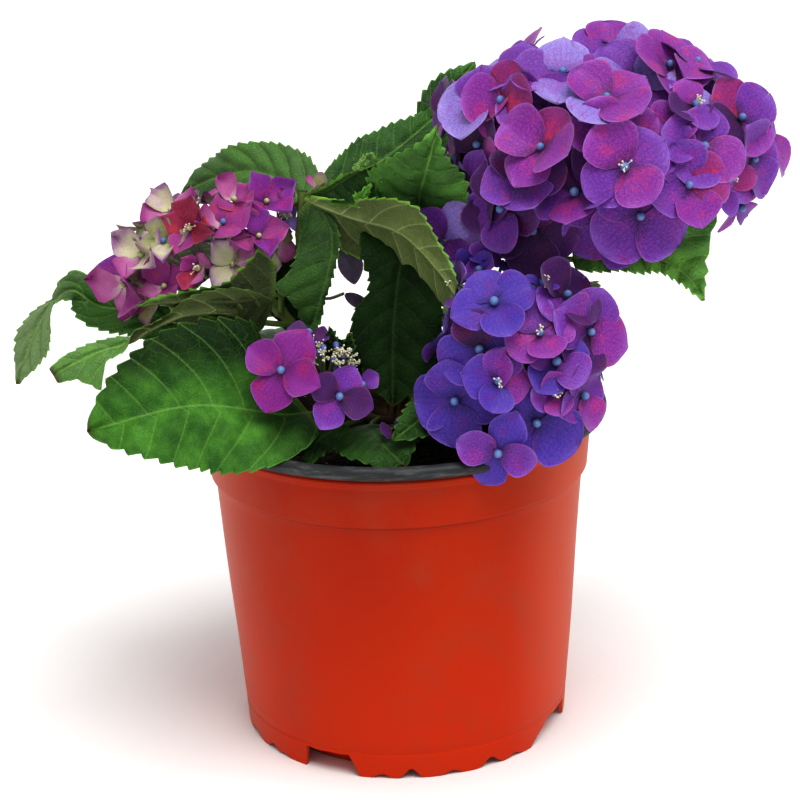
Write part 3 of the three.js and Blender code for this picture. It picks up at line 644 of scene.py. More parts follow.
# rib runs from foot to tip, and stalk is the bare share of it; faces says where the upper side faces, from
# foot to tip; half is the half-width on each side of the rib in mm
leaves = {
    "leaf_front_left": {
        "rib": [(-21, -35, 166), (-50, -58, 174), (-90, -72, 184), (-136, -82, 177)], "stalk": 0.2,
        "faces": [(0, -0.2, 0.98), (0, -0.27, 0.96), (0, -0.62, 0.78), (0, -0.72, 0.68), (0.1, -0.75, 0.66)],
        "half": [33, 42], "lift": [-4, 14], "outline": [[0.5, 0.8], [0.34, 0.72]],
        "tone": 0.55, "show": 0.3, "quilt": 3, "tooth": 2.3, "toothGap": 6.4, "shade": [-1, 0.92],
        "paintedLight": 1.3, "gloss": 0.12, "edgeHighlight": 0.15,
    },
    "leaf_left_curled": {
        "rib": [(-40, -6, 200), (-61, -22, 207), (-76, -38, 217), (-94, -44, 218), (-109, -48, 213),
                (-121, -50, 207), (-133, -52, 204), (-143, -54, 200), (-153, -56, 195)],
        "stalk": 0.2,
        "faces": [(0, 0.95, 0.3), (0, 0.95, 0.3), (0, 0.95, 0.3), (0, 0.9, 0.4), (0, -0.6, 0.8),
                  (0, -0.7, 0.7), (0, -0.8, 0.6)],
        "half": [15, 16], "lift": [0, 8],
        "shares": [[0.5, 1, 1, 0.9, 0.75, 0.55, 0.25, 0.2, 0.3, 0.4, 0.45, 1.25, 0.5, 0.25],
                   [0.5, 1, 1, 0.9, 0.7, 0.5, 0.25, 0.15, 0.22, 0.3, 0.36, 0.4, 0.35, 0.2]],
        "tone": 1, "pale": 0.2, "paleFrom": 0.55, "paintedLight": 1.1, "under": 0.6, "quilt": 1.6, "tooth": 1,
    },
    "leaf_far_left": {
        "rib": [(-53, 3, 204), (-104, 10, 199), (-122, 6, 206), (-140, 6, 210), (-151, 4, 218),
                (-162, 3, 211), (-171, 2, 196), (-180, 0, 174)],
        "stalk": 0.3,
        "faces": [(0, -0.9, 0.5), (0, -0.9, 0.5), (0, -0.9, 0.5), (0, -0.8, 0.6), (-0.2, -0.6, 0.8),
                  (-0.5, -0.8, 0.4), (-0.6, -0.8, 0.2)],
        "half": [13, 10], "lift": [6, 6],
        "shares": [[0.3, 0.8, 0.9, 0.9, 0.85, 0.55, 0.2, 0.8, 0.9, 0.6, 0],
                   [0.5, 0.9, 0.9, 0.8, 0.8, 1, 0.25, 0.8, 0.95, 0.6, 0]],
        "tone": 0.3, "pale": 0.55, "paleFrom": 0.55, "paintedLight": 0.95, "quilt": 2,
    },
    "leaf_behind_young_bloom": {
        "rib": [(-40, 0, 256), (-49, 18, 263), (-66, 38, 265), (-84, 50, 260), (-102, 60, 251)],
        "stalk": 0.04, "faces": [(-0.1, -0.85, 0.5), (-0.2, -0.85, 0.5)],
        "half": [14, 17], "lift": [4, 4],
        "shares": [[0.4, 0.8, 1, 1, 1, 0.95, 0.9, 0.8, 0.6, 0.4, 0],
                   [0.5, 0.85, 1, 1, 0.95, 0.88, 0.8, 0.72, 0.62, 0.45, 0]],
        "pale": 0.12, "show": 0.5, "quilt": 1.9, "paintedLight": 1.05,
    },
    "leaf_under_young_bloom": {
        "rib": [(-53, 3, 205), (-52, -13, 214), (-53, -26, 221), (-72, -38, 222), (-92, -43, 224),
                (-115, -44, 223)],
        "stalk": 0.36, "faces": [(0.6, 0.8, 0), (0.6, 0.8, 0), (0.2, 1, 0), (0, 1, 0.1), (0, 0.9, 0.3)],
        "half": [22, 18], "lift": [0, 10],
        "shares": [[0.6, 1, 0.7, 0.48, 0.36, 0.28, 0.22, 0.15, 0.1, 0],
                   [0.8, 1, 1, 0.8, 0.5, 0.4, 0.3, 0.2, 0.1, 0]],
        "tone": 0.3, "under": 0.15, "underShow": 0.2, "paintedLight": 0.75, "margin": 1.8, "edgeHighlight": 0.85,
    },
    "leaf_hanging_middle": {
        "rib": [(-38, -8, 262), (-29, -14, 252), (-27, -20, 241), (-31, -26, 225), (-40, -26, 198)],
        "stalk": 0.02, "faces": [(-0.3, -1, 0.2), (-0.1, -1, 0)],
        "half": [3, 23], "lift": [-30, 8],
        "shares": [[0, 1, 1, 1, 1, 1, 1, 1, 1, 0.6, 0],
                   [0.3, 0.55, 0.63, 0.67, 0.69, 0.7, 0.76, 0.98, 0.4, 0.25, 0]],
        "tone": 0.3, "show": 0.3, "paintedLight": 0.6, "pale": 0.05,
    },
    "leaf_middle_arching": {
        "rib": [(-39, -8, 261), (-18, -16, 254), (4, -28, 249), (20, -44, 236), (34, -62, 218)],
        "stalk": 0.02, "faces": [(0, 1, 0.3), (0.3, 0.9, 0.2), (0.7, 0.7, 0.1)],
        "half": [22, 16], "lift": [0, 0],
        "shares": [[0.3, 0.7, 0.9, 1, 1, 0.95, 0.85, 0.75, 0.65, 0.5, 0],
                   [0.1, 0.3, 0.5, 0.75, 0.95, 1, 0.75, 0.5, 0.35, 0.25, 0]],
        "tone": 0.3, "under": 0.8, "paintedLight": 1.5, "margin": 1.6, "edgeHighlight": 0.75,
    },
    "leaf_middle_drooping": {
        "rib": [(17, 9, 227), (6, -22, 238), (0, -44, 212), (-2, -60, 176)], "stalk": 0.25,
        "faces": [(0, -0.6, 0.8), (0, -0.95, 0.3)],
        "half": [22, 22],
        "shares": [[0.5, 0.85, 0.95, 1, 1, 1, 1, 0.95, 0.8, 0.55, 0],
                   [0.6, 1, 0.85, 0.6, 0.6, 0.85, 0.88, 0.78, 0.62, 0.4, 0]],
        "tone": 0.0, "show": 0.2, "paintedLight": 0.22,
    },
    "leaf_middle_upright": {
        "rib": [(18, 12, 239), (15, 3, 245), (13, -9, 258), (17, -28, 278), (22, -44, 299)], "stalk": 0.15,
        "faces": [(0, -1, 0.1), (0, -1, 0.2)],
        "half": [25, 22], "lift": [10, 12],
        "shares": [[0.2, 0.6, 0.9, 0.97, 1, 1, 0.85, 0.65, 0.42, 0.2, 0],
                   [0.2, 0.45, 0.7, 0.85, 0.95, 1, 0.9, 0.65, 0.35, 0.15, 0]],
        "tone": 0.45, "show": 0.5, "quilt": 2.6, "pale": 0.1, "tooth": 2, "paintedLight": 1.5,
    },
    "leaf_middle_raised": {
        "rib": [(-40, -3, 261), (-16, 8, 267), (6, 20, 279), (28, 32, 294)], "stalk": 0.12,
        "faces": [(-0.5, -0.7, 0.4)],
        "half": [15, 18], "lift": [15, 15],
        "tone": 0.25, "show": 0.4, "paintedLight": 0.95,
    },
    "leaf_middle_folded": {
        "rib": [(-40, -5, 262), (-31, -10, 264), (-20, -14, 271), (-8, -18, 279)], "stalk": 0.12,
        "faces": [(0.1, -1, 0.3)],
        "half": [2.5, 17], "lift": [20, 5],
        "shares": [[0.4, 1, 1, 0.9, 0.5, 0], [0.1, 0.35, 0.65, 0.9, 1, 0.2]],
        "tone": 0.1, "show": 0.3, "paintedLight": 0.6, "margin": 2.2, "edgeHighlight": 0.75,
    },
    "leaf_top": {
        "rib": [(18, 23, 260), (24, 38, 276), (29, 50, 294), (43, 58, 311)], "stalk": 0.2,
        "faces": [(-0.2, -1, 0.3)],
        "half": [13, 13], 
    },
    "leaf_right_drooping": {
        "rib": [(75, 1, 226), (90, 1, 226), (107, 2, 225), (123, -2, 226), (136, -6, 219), (145, -10, 207)],
        "stalk": 0.12, "faces": [(0, -0.5, 0.85), (0, -0.6, 0.8), (0.1, -0.75, 0.65), (0.2, -0.85, 0.5)],
        "half": [29, 9], "lift": [6, 6],
        "shares": [[0.5, 0.8, 0.9, 0.95, 0.95, 0.92, 0.92, 1.28, 0.48, 0.2, 0],
                   [0.6, 1, 1, 1, 0.95, 0.9, 0.85, 0.75, 0.7, 0.5, 0]],
        "tone": 1, "pale": 0.16, "paintedLight": 2.1, "quilt": 2.4, "tooth": 2,
    },
    "leaf_rim_front": {
        "rib": [(-9, -18, 157), (-12, -48, 163), (-7, -68, 162), (2, -86, 158)], "stalk": 0.4,
        "faces": [(0, -0.3, 0.95), (0, -0.5, 0.85)],
        "half": [20, 20], "lift": [0, 0],
        "tone": 0.15, "show": 0.3, "paintedLight": 0.6,
    },
    "leaf_rim_small_left": {
        "rib": [(-14, -26, 160), (-26, -46, 163), (-36, -62, 162), (-40, -74, 155)], "stalk": 0.35,
        "faces": [(0.3, -0.5, 0.85)],
        "half": [10, 12],
        "tone": 0.1, "show": 0.3, "paintedLight": 0.5,
    },
    "leaf_rim_small_right": {
        "rib": [(14, -19, 161), (18, -44, 174), (14, -62, 174), (-3, -78, 166)], "stalk": 0.35,
        "faces": [(0.2, -0.4, 0.9), (0.2, -0.5, 0.85)],
        "half": [14, 10],
        "tone": 0.2, "show": 0.4, "paintedLight": 0.7,
    },
    "leaf_behind_lacecap": {
        "rib": [(-20, -34, 165), (-24, -42, 184), (-26, -46, 196), (-31, -48, 207)], "stalk": 0.3,
        "faces": [(0, -1, 0.3)],
        "half": [10, 14],
        "tone": 0.1, "show": 0.3, "paintedLight": 0.5,
    },
    "leaf_shaded_left": {
        "rib": [(-42, 2, 190), (-45, 6, 202), (-50, 9, 218), (-53, 10, 238)], "stalk": 0.1,
        "faces": [(0.2, -1, 0.1)],
        "half": [13, 10], "outline": [[0.4, 0.6], [0.4, 0.6]],
        "tone": 0.1, "show": 0.25, "paintedLight": 0.35, "extra": True,
    },
    "shoot_tip_curled": {
        "rib": [(-16, -18, 276), (-11, -20, 279), (-9, -24, 282), (-12, -28, 282), (-14, -28, 279)],
        "stalk": 0.1, "faces": [(0, -1, 0.2), (0, -1, 0.2), (0, -0.2, -1)],
        "half": [3, 3], "tone": 1, "paintedLight": 1.4, "pale": 0.3, "extra": True, "toothGap": 2.5, "tooth": 1,
    },
    "shoot_small_fresh": {
        "rib": [(-19, -10, 258), (-14, -18, 262), (-11, -20, 266), (-8, -21, 270)], "stalk": 0.15,
        "faces": [(0.3, -1, 0.3)],
        "half": [3.5, 3], "tone": 1, "paintedLight": 1.7, "extra": True, "toothGap": 2.5, "tooth": 0.8,
    },
    "shoot_leaf_fresh": {
        "rib": [(-14, -6, 262), (-10, -14, 268), (-4, -18, 274), (2, -20, 276)], "stalk": 0.15,
        "faces": [(-0.2, -1, 0.3)],
        "half": [6, 6], "tone": 1, "paintedLight": 1.3, "extra": True, "toothGap": 3,
    },
    "bract_lacecap_left": {
        "rib": [(-29, -50, 186), (-29, -52, 196), (-28, -54, 204), (-29, -54, 213)], "stalk": 0.2,
        "faces": [(0, -1, 0.3)],
        "half": [4, 4], "tone": 0.1, "paintedLight": 0.4, "show": 0.2, "extra": True, "toothGap": 2.5,
    },
    "bract_lacecap_right": {
        "rib": [(-26, -48, 186), (-23, -50, 195), (-21, -52, 201), (-20, -52, 209)], "stalk": 0.2,
        "faces": [(0, -1, 0.3)],
        "half": [5, 4], "tone": 0.1, "paintedLight": 0.4, "show": 0.2, "extra": True, "toothGap": 2.5,
    },
}
# the leaves at the back: stalk, half-width, how far each faces to the side, and rib
backLeaves = {
    "leaf_back_right": (0.3, 26, 0.2, [(13, 24, 173), (38, 56, 190), (50, 90, 184), (58, 118, 160)]),
    "leaf_back_middle": (0.3, 26, 0, [(8, 14, 163), (12, 58, 180), (10, 94, 174), (4, 124, 150)]),
    "leaf_back_left_upper": (
        0.3, 26, -0.2, [(-46, 5, 195), (-66, 44, 224), (-92, 80, 214), (-108, 104, 186)]),
    "leaf_back_left_lower": (
        0.3, 26, -0.2, [(-19, 7, 162), (-58, 46, 178), (-90, 64, 176), (-116, 80, 156)]),
    "leaf_right_back": (0.3, 24, 0.2, [(43, 1, 187), (64, 40, 196), (84, 66, 193), (98, 88, 178)]),
    "leaf_back_upper_right": (0.35, 26, 0.2, [(72, 2, 221), (84, 52, 234), (94, 90, 230), (100, 118, 206)]),
}
for name, (stalk, half, aside, rib) in backLeaves.items():
    faces = [(aside, 0.2, 0.95), (2 * aside, 0.8, 0.5)]
    leaves[name] = {"rib": rib, "stalk": stalk, "faces": faces, "half": [half, half]}
# rim is the lime of a painted highlight along the leaves' edges
leafPaint = {
    "deep": (30, 64, 24), "mid": (54, 104, 38), "fresh": (92, 148, 52), "vein": (134, 174, 88),
    "underDeep": (52, 66, 34), "underMid": (92, 106, 58), "underVein": (138, 150, 98), "rim": (126, 186, 66),
    "scar": (92, 66, 40), "fadedAndLit": (150, 172, 122), "tip": (70, 42, 30), "foot": (112, 138, 66),
}
# lengths in mm; toothSlope is the share of each tooth that is its long side
leafForm = {
    "stalkRadius": 1.25, "stalkThick": 2.7, "stalkHigh": 1.2, "thin": 0.5, "ribThick": 1.1, "ribWide": 1.3,
    "grooveDeep": 0.8, "grooveWide": 1.2, "toothSlope": 0.78,
    "leastWide": 0.12, "columns": 31, "rowsPerTooth": 7, "stalkRows": 11,
}


# width of one half of a blade, from its shares or from how blunt its foot and how sharp its tip is
def breadth(spec, k, place):
    if spec["shares"]:
        shares = spec["shares"][k]
        return spec["half"][k] * np.interp(place, np.linspace(0, 1, len(shares)), shares) * (place > 0)
    blunt, sharp = spec["outline"][k]
    peak = blunt / (blunt + sharp)
    most = peak**blunt * (1 - peak) ** sharp
    return spec["half"][k] * np.clip(place, 0, 1) ** blunt * np.clip(1 - place, 0, 1) ** sharp / most


# the upper side's direction, eased from one given way to the next
def facing(faces, t):
    faces = unit(faces)
    if len(faces) == 1:
        return np.repeat(faces, len(t), 0)
    x = np.clip(t, 0, 1) * (len(faces) - 1)
    i = np.minimum(x.astype(int), len(faces) - 2)
    f = smooth(x - i, 0, 1)[:, None]
    return faces[i] * (1 - f) + faces[i + 1] * f


# veined green above and duller below, from how far across and along the blade each point lies
def leafMaterial(name, spec, order):
    # painted shade below 1 darkens the palette and dulls the gloss; painted light above 1 lightens the
    # palette
    paint = Paint(name, Specular_IOR_Level=spec["gloss"] * min(1, spec["paintedLight"]))
    colours = {key: darker(colour, spec["paintedLight"]) for key, colour in linears(leafPaint).items()}
    across, along, phase = paint.attribute("leafMap")
    rim, side, place = paint.attribute("leafEdge")
    flat = paint.node("ShaderNodeCombineXYZ", {0: across, 1: along, 2: order * 7.0}).outputs[0]
    lateralLine = paint.ramp(paint.calc("PINGPONG", phase, 0.5), 0.05, 0.008)
    ribLine = paint.ramp(paint.calc("ABSOLUTE", across), 0.8, 0.25)
    shake = paint.node("ShaderNodeTexNoise", {"Vector": flat, "Scale": 0.35, "Detail": 2.0}).outputs[1]
    warped = paint.node("ShaderNodeVectorMath", {0: flat, 1: shake}, operation="ADD").outputs[0]

    def netOf(scale, wide):
        inputs = {"Vector": warped, "Scale": scale}
        cells = paint.node("ShaderNodeTexVoronoi", inputs, feature="DISTANCE_TO_EDGE").outputs[0]
        return paint.ramp(cells, wide, 0.0)

    netLine, fineLine = netOf(0.26, 0.09), netOf(0.9, 0.12)
    broad = paint.noise(flat, 0.035, 3, 0.6)
    patches = paint.noise(flat, 0.11, 4, 0.6)

    def drawn(line, strength, surface, colour):
        return paint.mix(paint.calc("MULTIPLY", line, strength), surface, colours[colour])

    low = between(colours["deep"], colours["mid"], min(1, spec["tone"] * 0.8))
    high = between(colours["mid"], colours["fresh"], spec["tone"])
    clouds = paint.calc("ADD", paint.calc("MULTIPLY", broad, 0.65), paint.calc("MULTIPLY", patches, 0.35))
    top = paint.mix(paint.ramp(clouds, 0.36, 0.64), low, high)
    shaded, shadeMost = spec["shade"]
    shadedHalf = paint.ramp(paint.calc("MULTIPLY", across, shaded), 4, 28, 0, shadeMost)
    shadedFoot = paint.ramp(place, 0.34, 0.1, 0, 0.6 * shadeMost)
    top = paint.mix(paint.calc("MAXIMUM", shadedHalf, shadedFoot), top, darker(colours["deep"], 0.2))
    # paler from some way along: partly faded, partly painted light
    paling = paint.ramp(place, spec["paleFrom"] - 0.1, spec["paleFrom"] + 0.1, 0, spec["pale"])
    top = paint.mix(paling, top, linear(leafPaint["fadedAndLit"]))
    top = drawn(fineLine, 0.18, top, "deep")
    top = drawn(netLine, 0.3 * spec["show"], top, "fresh")
    top = drawn(lateralLine, 0.6 * spec["show"], top, "vein")
    top = drawn(ribLine, spec["show"], top, "vein")
    lowUnder = between(colours["underDeep"], colours["underMid"], spec["under"] * 0.6)
    highUnder = between(colours["underDeep"], colours["underMid"], 0.3 + 0.7 * spec["under"])
    under = paint.mix(paint.ramp(broad, 0.35, 0.65), lowUnder, highUnder)
    under = drawn(netLine, 0.12, under, "underVein")
    under = drawn(paint.calc("MAXIMUM", lateralLine, ribLine), spec["underShow"], under, "underVein")
    both = paint.mix(side, top, under)
    # painted highlight: a lime rim along the edge
    both = paint.mix(paint.ramp(rim, spec["margin"], 0.2, 0, spec["edgeHighlight"]), both, colours["rim"])
    both = paint.mix(paint.ramp(paint.noise(flat, 0.3, 2), 0.735, 0.76, 0, 0.55), both, colours["scar"])
    both = paint.mix(paint.ramp(place, 0.965, 1.0, 0, 0.8), both, linear(leafPaint["tip"]))
    both = paint.mix(paint.ramp(place, 0.06, -0.02, 0, 0.8), both, linear(leafPaint["foot"]))
    height = paint.calc("MULTIPLY_ADD", fineLine, -0.35, paint.calc("MULTIPLY", netLine, -0.65))
    paint.bump(paint.calc("MULTIPLY_ADD", patches, 0.3, height), 0.5, 0.0009)
    paint.rough(paint.calc("MULTIPLY_ADD", side, 0.22, paint.ramp(patches, 0.3, 0.7, 0.36, 0.55)))
    return paint.colour(both)


# how far the teeth stand out along the edge
def toothed(place, teeth):
    part = place * teeth - np.floor(place * teeth)
    slope = leafForm["toothSlope"]
    saw = np.where(part < slope, part / slope, (1 - part) / (1 - slope)) - 0.5
    return saw * smooth(place, 0.03, 0.2) * (1 - 0.75 * smooth(place, 0.8, 1))


def buildLeaf(name, given, order):
    spec = {**leafUsual, **given}
    form = leafForm
    phases = np.random.default_rng(100 + order).uniform(0, tau, 4)
    curve = Curve(spec["rib"])
    stalk = spec["stalk"]
    blade = curve.length * (1 - stalk)
    teeth = max(5, int(blade * 1.05 / spec["toothGap"]))

    # rows run from the stalk's foot to the tip; place is 0 where the blade starts and 1 at the tip
    bladeRows = np.linspace(stalk, 1, teeth * form["rowsPerTooth"] + 1)
    along = np.concatenate([np.linspace(0, stalk, form["stalkRows"] + 1)[:-1], bladeRows])
    place = ((along - stalk) / (1 - stalk))[:, None]
    inBlade = np.clip(place, 0, 1)
    stalkShare = 1 - smooth(place, -0.02, 0.14)
    middle, ahead = curve.points(along), curve.tangents(along)
    face = facing(spec["faces"], curve.share(along))
    face = unit(face - ahead * (face * ahead).sum(1, keepdims=True))
    left = np.cross(face, ahead)
    middle, ahead, face, left = (rows[:, None] for rows in (middle, ahead, face, left))

    # columns run across, from the right edge at -1 to the left one at 1, closer near the edges
    c = np.linspace(-1, 1, form["columns"])
    c = np.sign(c) * np.abs(c) ** 0.85
    a = np.abs(c)
    half, sign = np.where(c > 0, 0, 1), np.where(c > 0, 1, -1)
    lift = np.radians(spec["lift"])[half]
    width = np.concatenate([breadth(spec, 0, place), breadth(spec, 1, place)], 1)[:, half]
    width = width + form["stalkRadius"] * stalkShare + form["leastWide"]

    # the skin swells between side veins that curve forwards, and sinks over the rib
    q = width * a / max(spec["half"])
    phase = spec["veins"] * (place - 0.15 * q - 0.13 * q * q) + 0.15 * sign
    inside = smooth(place, 0, 0.12) * (1 - a**4) * smooth(a, 0, 0.3)
    bulge = spec["quilt"] * np.abs(np.sin(math.pi * phase)) ** 0.8 * inside
    groove = np.exp(-((width * a / form["grooveWide"]) ** 2)) * smooth(place, 0, 0.1) * (1 - 0.6 * inBlade)
    ripple = np.sin(place * 11 + phases[half]) + 0.6 * np.sin(place * 23 + phases[2 + half])
    wave = spec["wave"] * a**2 * smooth(place, 0.05, 0.3) * ripple
    swell = bulge - form["grooveDeep"] * groove + wave

    saw = spec["tooth"] * toothed(place, teeth) * a**9
    uneven = 1 + 0.35 * np.sin(place * 23 + order) * np.sin(place * 9)
    reach = width * a + saw * uneven
    sideways = sign * (reach * np.cos(lift) - swell * np.sin(lift))
    upwards = reach * np.sin(lift) + swell * np.cos(lift)
    point = middle + left * sideways[..., None] + face * upwards[..., None] + ahead * (0.7 * saw)[..., None]

    # the stalk is round and the blade thin, thicker at its rib and with no thickness at its edge
    rounded = np.sqrt(1 - c**2) * stalkShare
    ribbed = np.exp(-((width * a / form["ribWide"]) ** 2)) * (1 - stalkShare) * (1 - 0.7 * inBlade)
    thick = form["thin"] * (1 - a**10) * (1 - stalkShare) + form["stalkThick"] * rounded
    thick = (thick + form["ribThick"] * ribbed) * (a < 1)
    normal = face * np.cos(lift)[:, None] - left * (sign * np.sin(lift))[:, None]
    upper = point + normal * (form["stalkHigh"] * rounded)[..., None]
    lower = upper - normal * thick[..., None]

    shape = Shape()
    leafMap = np.stack(np.broadcast_arrays(sign * width * a, place * blade, phase), -1)
    for side, skin in enumerate((upper, lower)):
        maps = mapOf(0.01 + 0.5 * side + 0.24 * (c + 1), np.linspace(0.01, 0.99, len(along))[:, None])
        leafEdge = np.stack(np.broadcast_arrays(width * (1 - a), side, place), -1)
        shape.grid(skin, maps, side == 0, leafMap=leafMap, leafEdge=leafEdge)
    nodes = [] if spec["extra"] else [name]
    addPiece(name + "_blade", shape, leafMaterial(name, spec, order), nodes)


for order, (name, spec) in enumerate(leaves.items()):
    buildLeaf(name, spec, order)
print("leaves done")


# Each tone is the colour near a petal's foot, across it and along its edge, and of its patches. The
# letters stand for violet, blue, lilac, magenta, a dark purple of painted shade, red, cream, green, pink,
# young magenta, scarlet, deep magenta and a faded grey made lighter with painted light.
tones = {
    "v": [(74, 22, 98), (116, 48, 160), (158, 110, 212), (144, 46, 148)],
    "b": [(48, 28, 112), (82, 54, 168), (124, 92, 194), (100, 44, 152)],
    "l": [(100, 62, 156), (148, 124, 206), (184, 168, 228), (150, 92, 184)],
    "m": [(92, 18, 88), (138, 46, 154), (178, 104, 204), (174, 46, 134)],
    # painted shade: a dark purple for florets that lie in shade
    "p": [(44, 12, 56), (76, 26, 98), (114, 58, 146), (100, 26, 88)],
    "r": [(104, 18, 74), (146, 38, 116), (172, 84, 172), (196, 48, 86)],
    "c": [(206, 214, 150), (210, 206, 172), (146, 80, 156), (196, 176, 190)],
    "g": [(176, 190, 104), (170, 178, 120), (150, 110, 140), (150, 150, 104)],
    "k": [(206, 190, 190), (190, 108, 166), (154, 48, 130), (180, 86, 150)],
    "y": [(124, 36, 112), (158, 56, 138), (184, 108, 172), (186, 62, 116)],
    "s": [(136, 24, 56), (160, 42, 80), (176, 84, 128), (188, 58, 76)],
    "d": [(96, 20, 96), (132, 34, 136), (150, 60, 172), (160, 34, 112)],
    # a faded grey-purple, made lighter with painted light against its shade
    "x": [(82, 70, 90), (112, 100, 126), (140, 128, 154), (104, 84, 112)],
}
# A flower head has its middle and half-size in mm and leans over to one side by some degrees. fill holds
# the tones of the florets that fill it at random, down to the angle lowest, with petals of about that
# size, at least gap degrees apart. reach is how near the head's surface the florets lie, and sunk how
# much deeper the filling ones do. The listed florets each have az and el, which place them on the
# head's dome in degrees: az 0 is towards -Y and turns towards +X. The next two give the way the floret
# faces, az and el again, then its turn, petal length in mm, how far the petals rise, their tones and,
# where they differ from 1, the petals' breadth and the floret's depth in the head.
blooms = {
    "bloom_large_right": {
        "middle": (99, 0, 279), "half": (83, 72, 54), "lean": 0, "stem": "stem_right", "fill": "vvmvpl",
        "size": 20, "reach": 0.93, "sunk": 1, "lowest": -38, "gap": 22.5, "seed": 5, "style": "round",
        "florets": [
            (-29, 55, -8, 56, 0, 21.5, 15, "vlvl"), (-4, 40, -4, 56, 45, 20, 24, "mmlm"),
            (-26, 15, -34, 40, 70, 20, 20, "rmmm", 1, 1.03), (1, 6, -4, 22, 35, 21, 8, "vmvm", 1, 1.08),
            (7, -20, 4, 8, 45, 21.5, 6, "vvvv", 1, 1.04), (22, -5, 16, 18, 100, 19, 12, "vvmr", 1, 1.05),
            (40, -7, 40, 24, 80, 16, 14, "rvvr", 0.6), (53, 22, 35, 28, 110, 19, 16, "rpmv"),
            (30, 12, 16, 24, 65, 20, 12, "vvvm"), (16, 17, 8, 34, 55, 17, 14, "mmvv", 1, 0.93),
            (-15, -8, -36, 44, 10, 20, 16, "vpvm", 1, 0.97),
            (-33, -2, -24, 48, 30, 19, 18, "ppvv", 1, 0.98),
            (-44, -20, -44, 10, 15, 21, 14, "ppvv"), (-34, -33, -20, 2, 0, 20, 8, "pmpp"),
            (-5, -28, -2, -6, 50, 21, 8, "vvvv", 1, 0.93), (-67, 32, -50, 40, 20, 19, 18, "rvll"),
            (-52, 36, -40, 18, 85, 18, 20, "rmmr"), (-69, 52, -50, 62, 20, 19, 14, "lvlv"),
            (6, 75, 5, 56, 95, 18, 16, "mvvl"), (39, 57, 40, 46, 60, 20, 16, "mmmm"),
            (58, 54, 62, 62, 10, 19, 10, "vvmv", 0.9, 1.03), (33, 33, 30, 44, 0, 13, 16, "lmpv"),
            (55, 0, 50, 4, 30, 20, 12, "vvvv"), (64, -30, 50, -30, 60, 14, 14, "mvmv", 0.7),
            (-110, 60, -90, 50, 35, 15, 20, "vmvv"), (-95, 21, -76, 16, 40, 17, 20, "mpvm"),
            (-61, 11, -60, 4, 60, 17, 16, "pppm", 1, 0.9), (80, 6, 70, 10, 20, 19, 14, "vmvm"),
            (14, 54, 20, 48, 100, 21, 12, "vlvl", 1, 0.93), (-56, -14, -58, 2, 0, 18, 12, "pvvp", 1, 0.93),
            (0, 15, -2, 16, 45, 22, 6, "mmpp", 1, 0.9), (-33, 34, -22, 18, 60, 20, 8, "vvpv", 1, 0.88),
        ],
    },
    "bloom_front_right": {
        "middle": (54, -55, 193), "half": (48, 38, 50), "lean": 0, "stem": "stem_front", "fill": "bvpvpb",
        "size": 15, "reach": 0.93, "sunk": 0.86, "lowest": -48, "gap": 33, "seed": 8, "style": "round",
        "florets": [
            (-19, 47, -8, 38, 30, 18.5, 14, "bbbb", 0.9, 1.07), (13, 30, 4, 46, 20, 15.5, 12, "mvmm"),
            (-26, 21, -14, 12, 25, 19, 4, "bpbm", 0.95, 0.96), (52, 25, 30, 16, 65, 20, 8, "vvpm"),
            (-41, -10, -26, 8, 10, 19, 10, "bbbb"), (-13, 4, 14, 18, -20, 15, 20, "mvbb"),
            (9, -21, 8, 2, 50, 20, 8, "bbbb", 1, 1.02), (-12, -27, -8, -2, 70, 18, 4, "bvbv", 0.75, 1.32),
            (22, 13, 16, 30, 50, 15, 18, "bvbv", 1, 0.96), (40, -9, 48, 6, 20, 16, 14, "vvvm", 0.85),
            (34, 62, 20, 60, 45, 8, 30, "bbbb", 0.5), (-120, 66, -60, 50, 20, 9, 30, "vbvb"),
            (-105, 52, -80, 20, 45, 12, 20, "vvvv"), (19, -4, 18, 10, 15, 10, 30, "vmvm"),
            (50, 50, 40, 40, 20, 17, 14, "ppvp"),
        ],
    },
    "bloom_young_left": {
        "middle": (-90, 0, 238), "half": (48, 34, 26), "lean": -22, "stem": "stem_left", "fill": "kcygkc",
        "size": 11.5, "reach": 0.9, "sunk": 1, "lowest": -30, "gap": 28, "seed": 9, "style": "young",
        "florets": [
            (47, -5, 20, 40, 5, 14, 14, "ymym"), (31, 28, 10, 46, 10, 14, 26, "yyky"),
            (23, -21, 10, 20, 45, 14, 16, "kcck"), (40, -26, 20, 30, 20, 11, 16, "cggc"),
            (80, -37, 40, 10, 60, 12, 20, "gcck"), (-36, 31, -24, 30, 65, 15.5, 22, "cckc"),
            (-15, 37, -4, 36, 10, 12, 20, "gggc"), (7, 38, -14, 24, 75, 14, 26, "ssys"),
            (-60, 2, -38, 0, 80, 18, 12, "mkky", 1.15), (-24, -11, -10, 34, 30, 13, 26, "yyky"),
            (-20, 78, -30, 50, 60, 14, 24, "kcky"), (78, 21, 30, 40, 20, 15, 24, "mmym"),
            (1, -7, -20, 10, 60, 11, 40, "kysk"), (93, -7, 60, 20, 10, 12, 26, "lkyl"),
            (-50, -26, -40, 4, 10, 12, 20, "ggkg"), (60, 44, 20, 60, 30, 12, 24, "yksy"),
        ],
    },
    "bloom_back": {
        "middle": (28, 58, 240), "half": (42, 36, 32), "lean": 10, "stem": "stem_back", "fill": "vbpvlm",
        "size": 16, "reach": 0.9, "sunk": 1, "lowest": -45, "gap": 38, "seed": 12, "style": "round",
        "florets": [],
    },
}
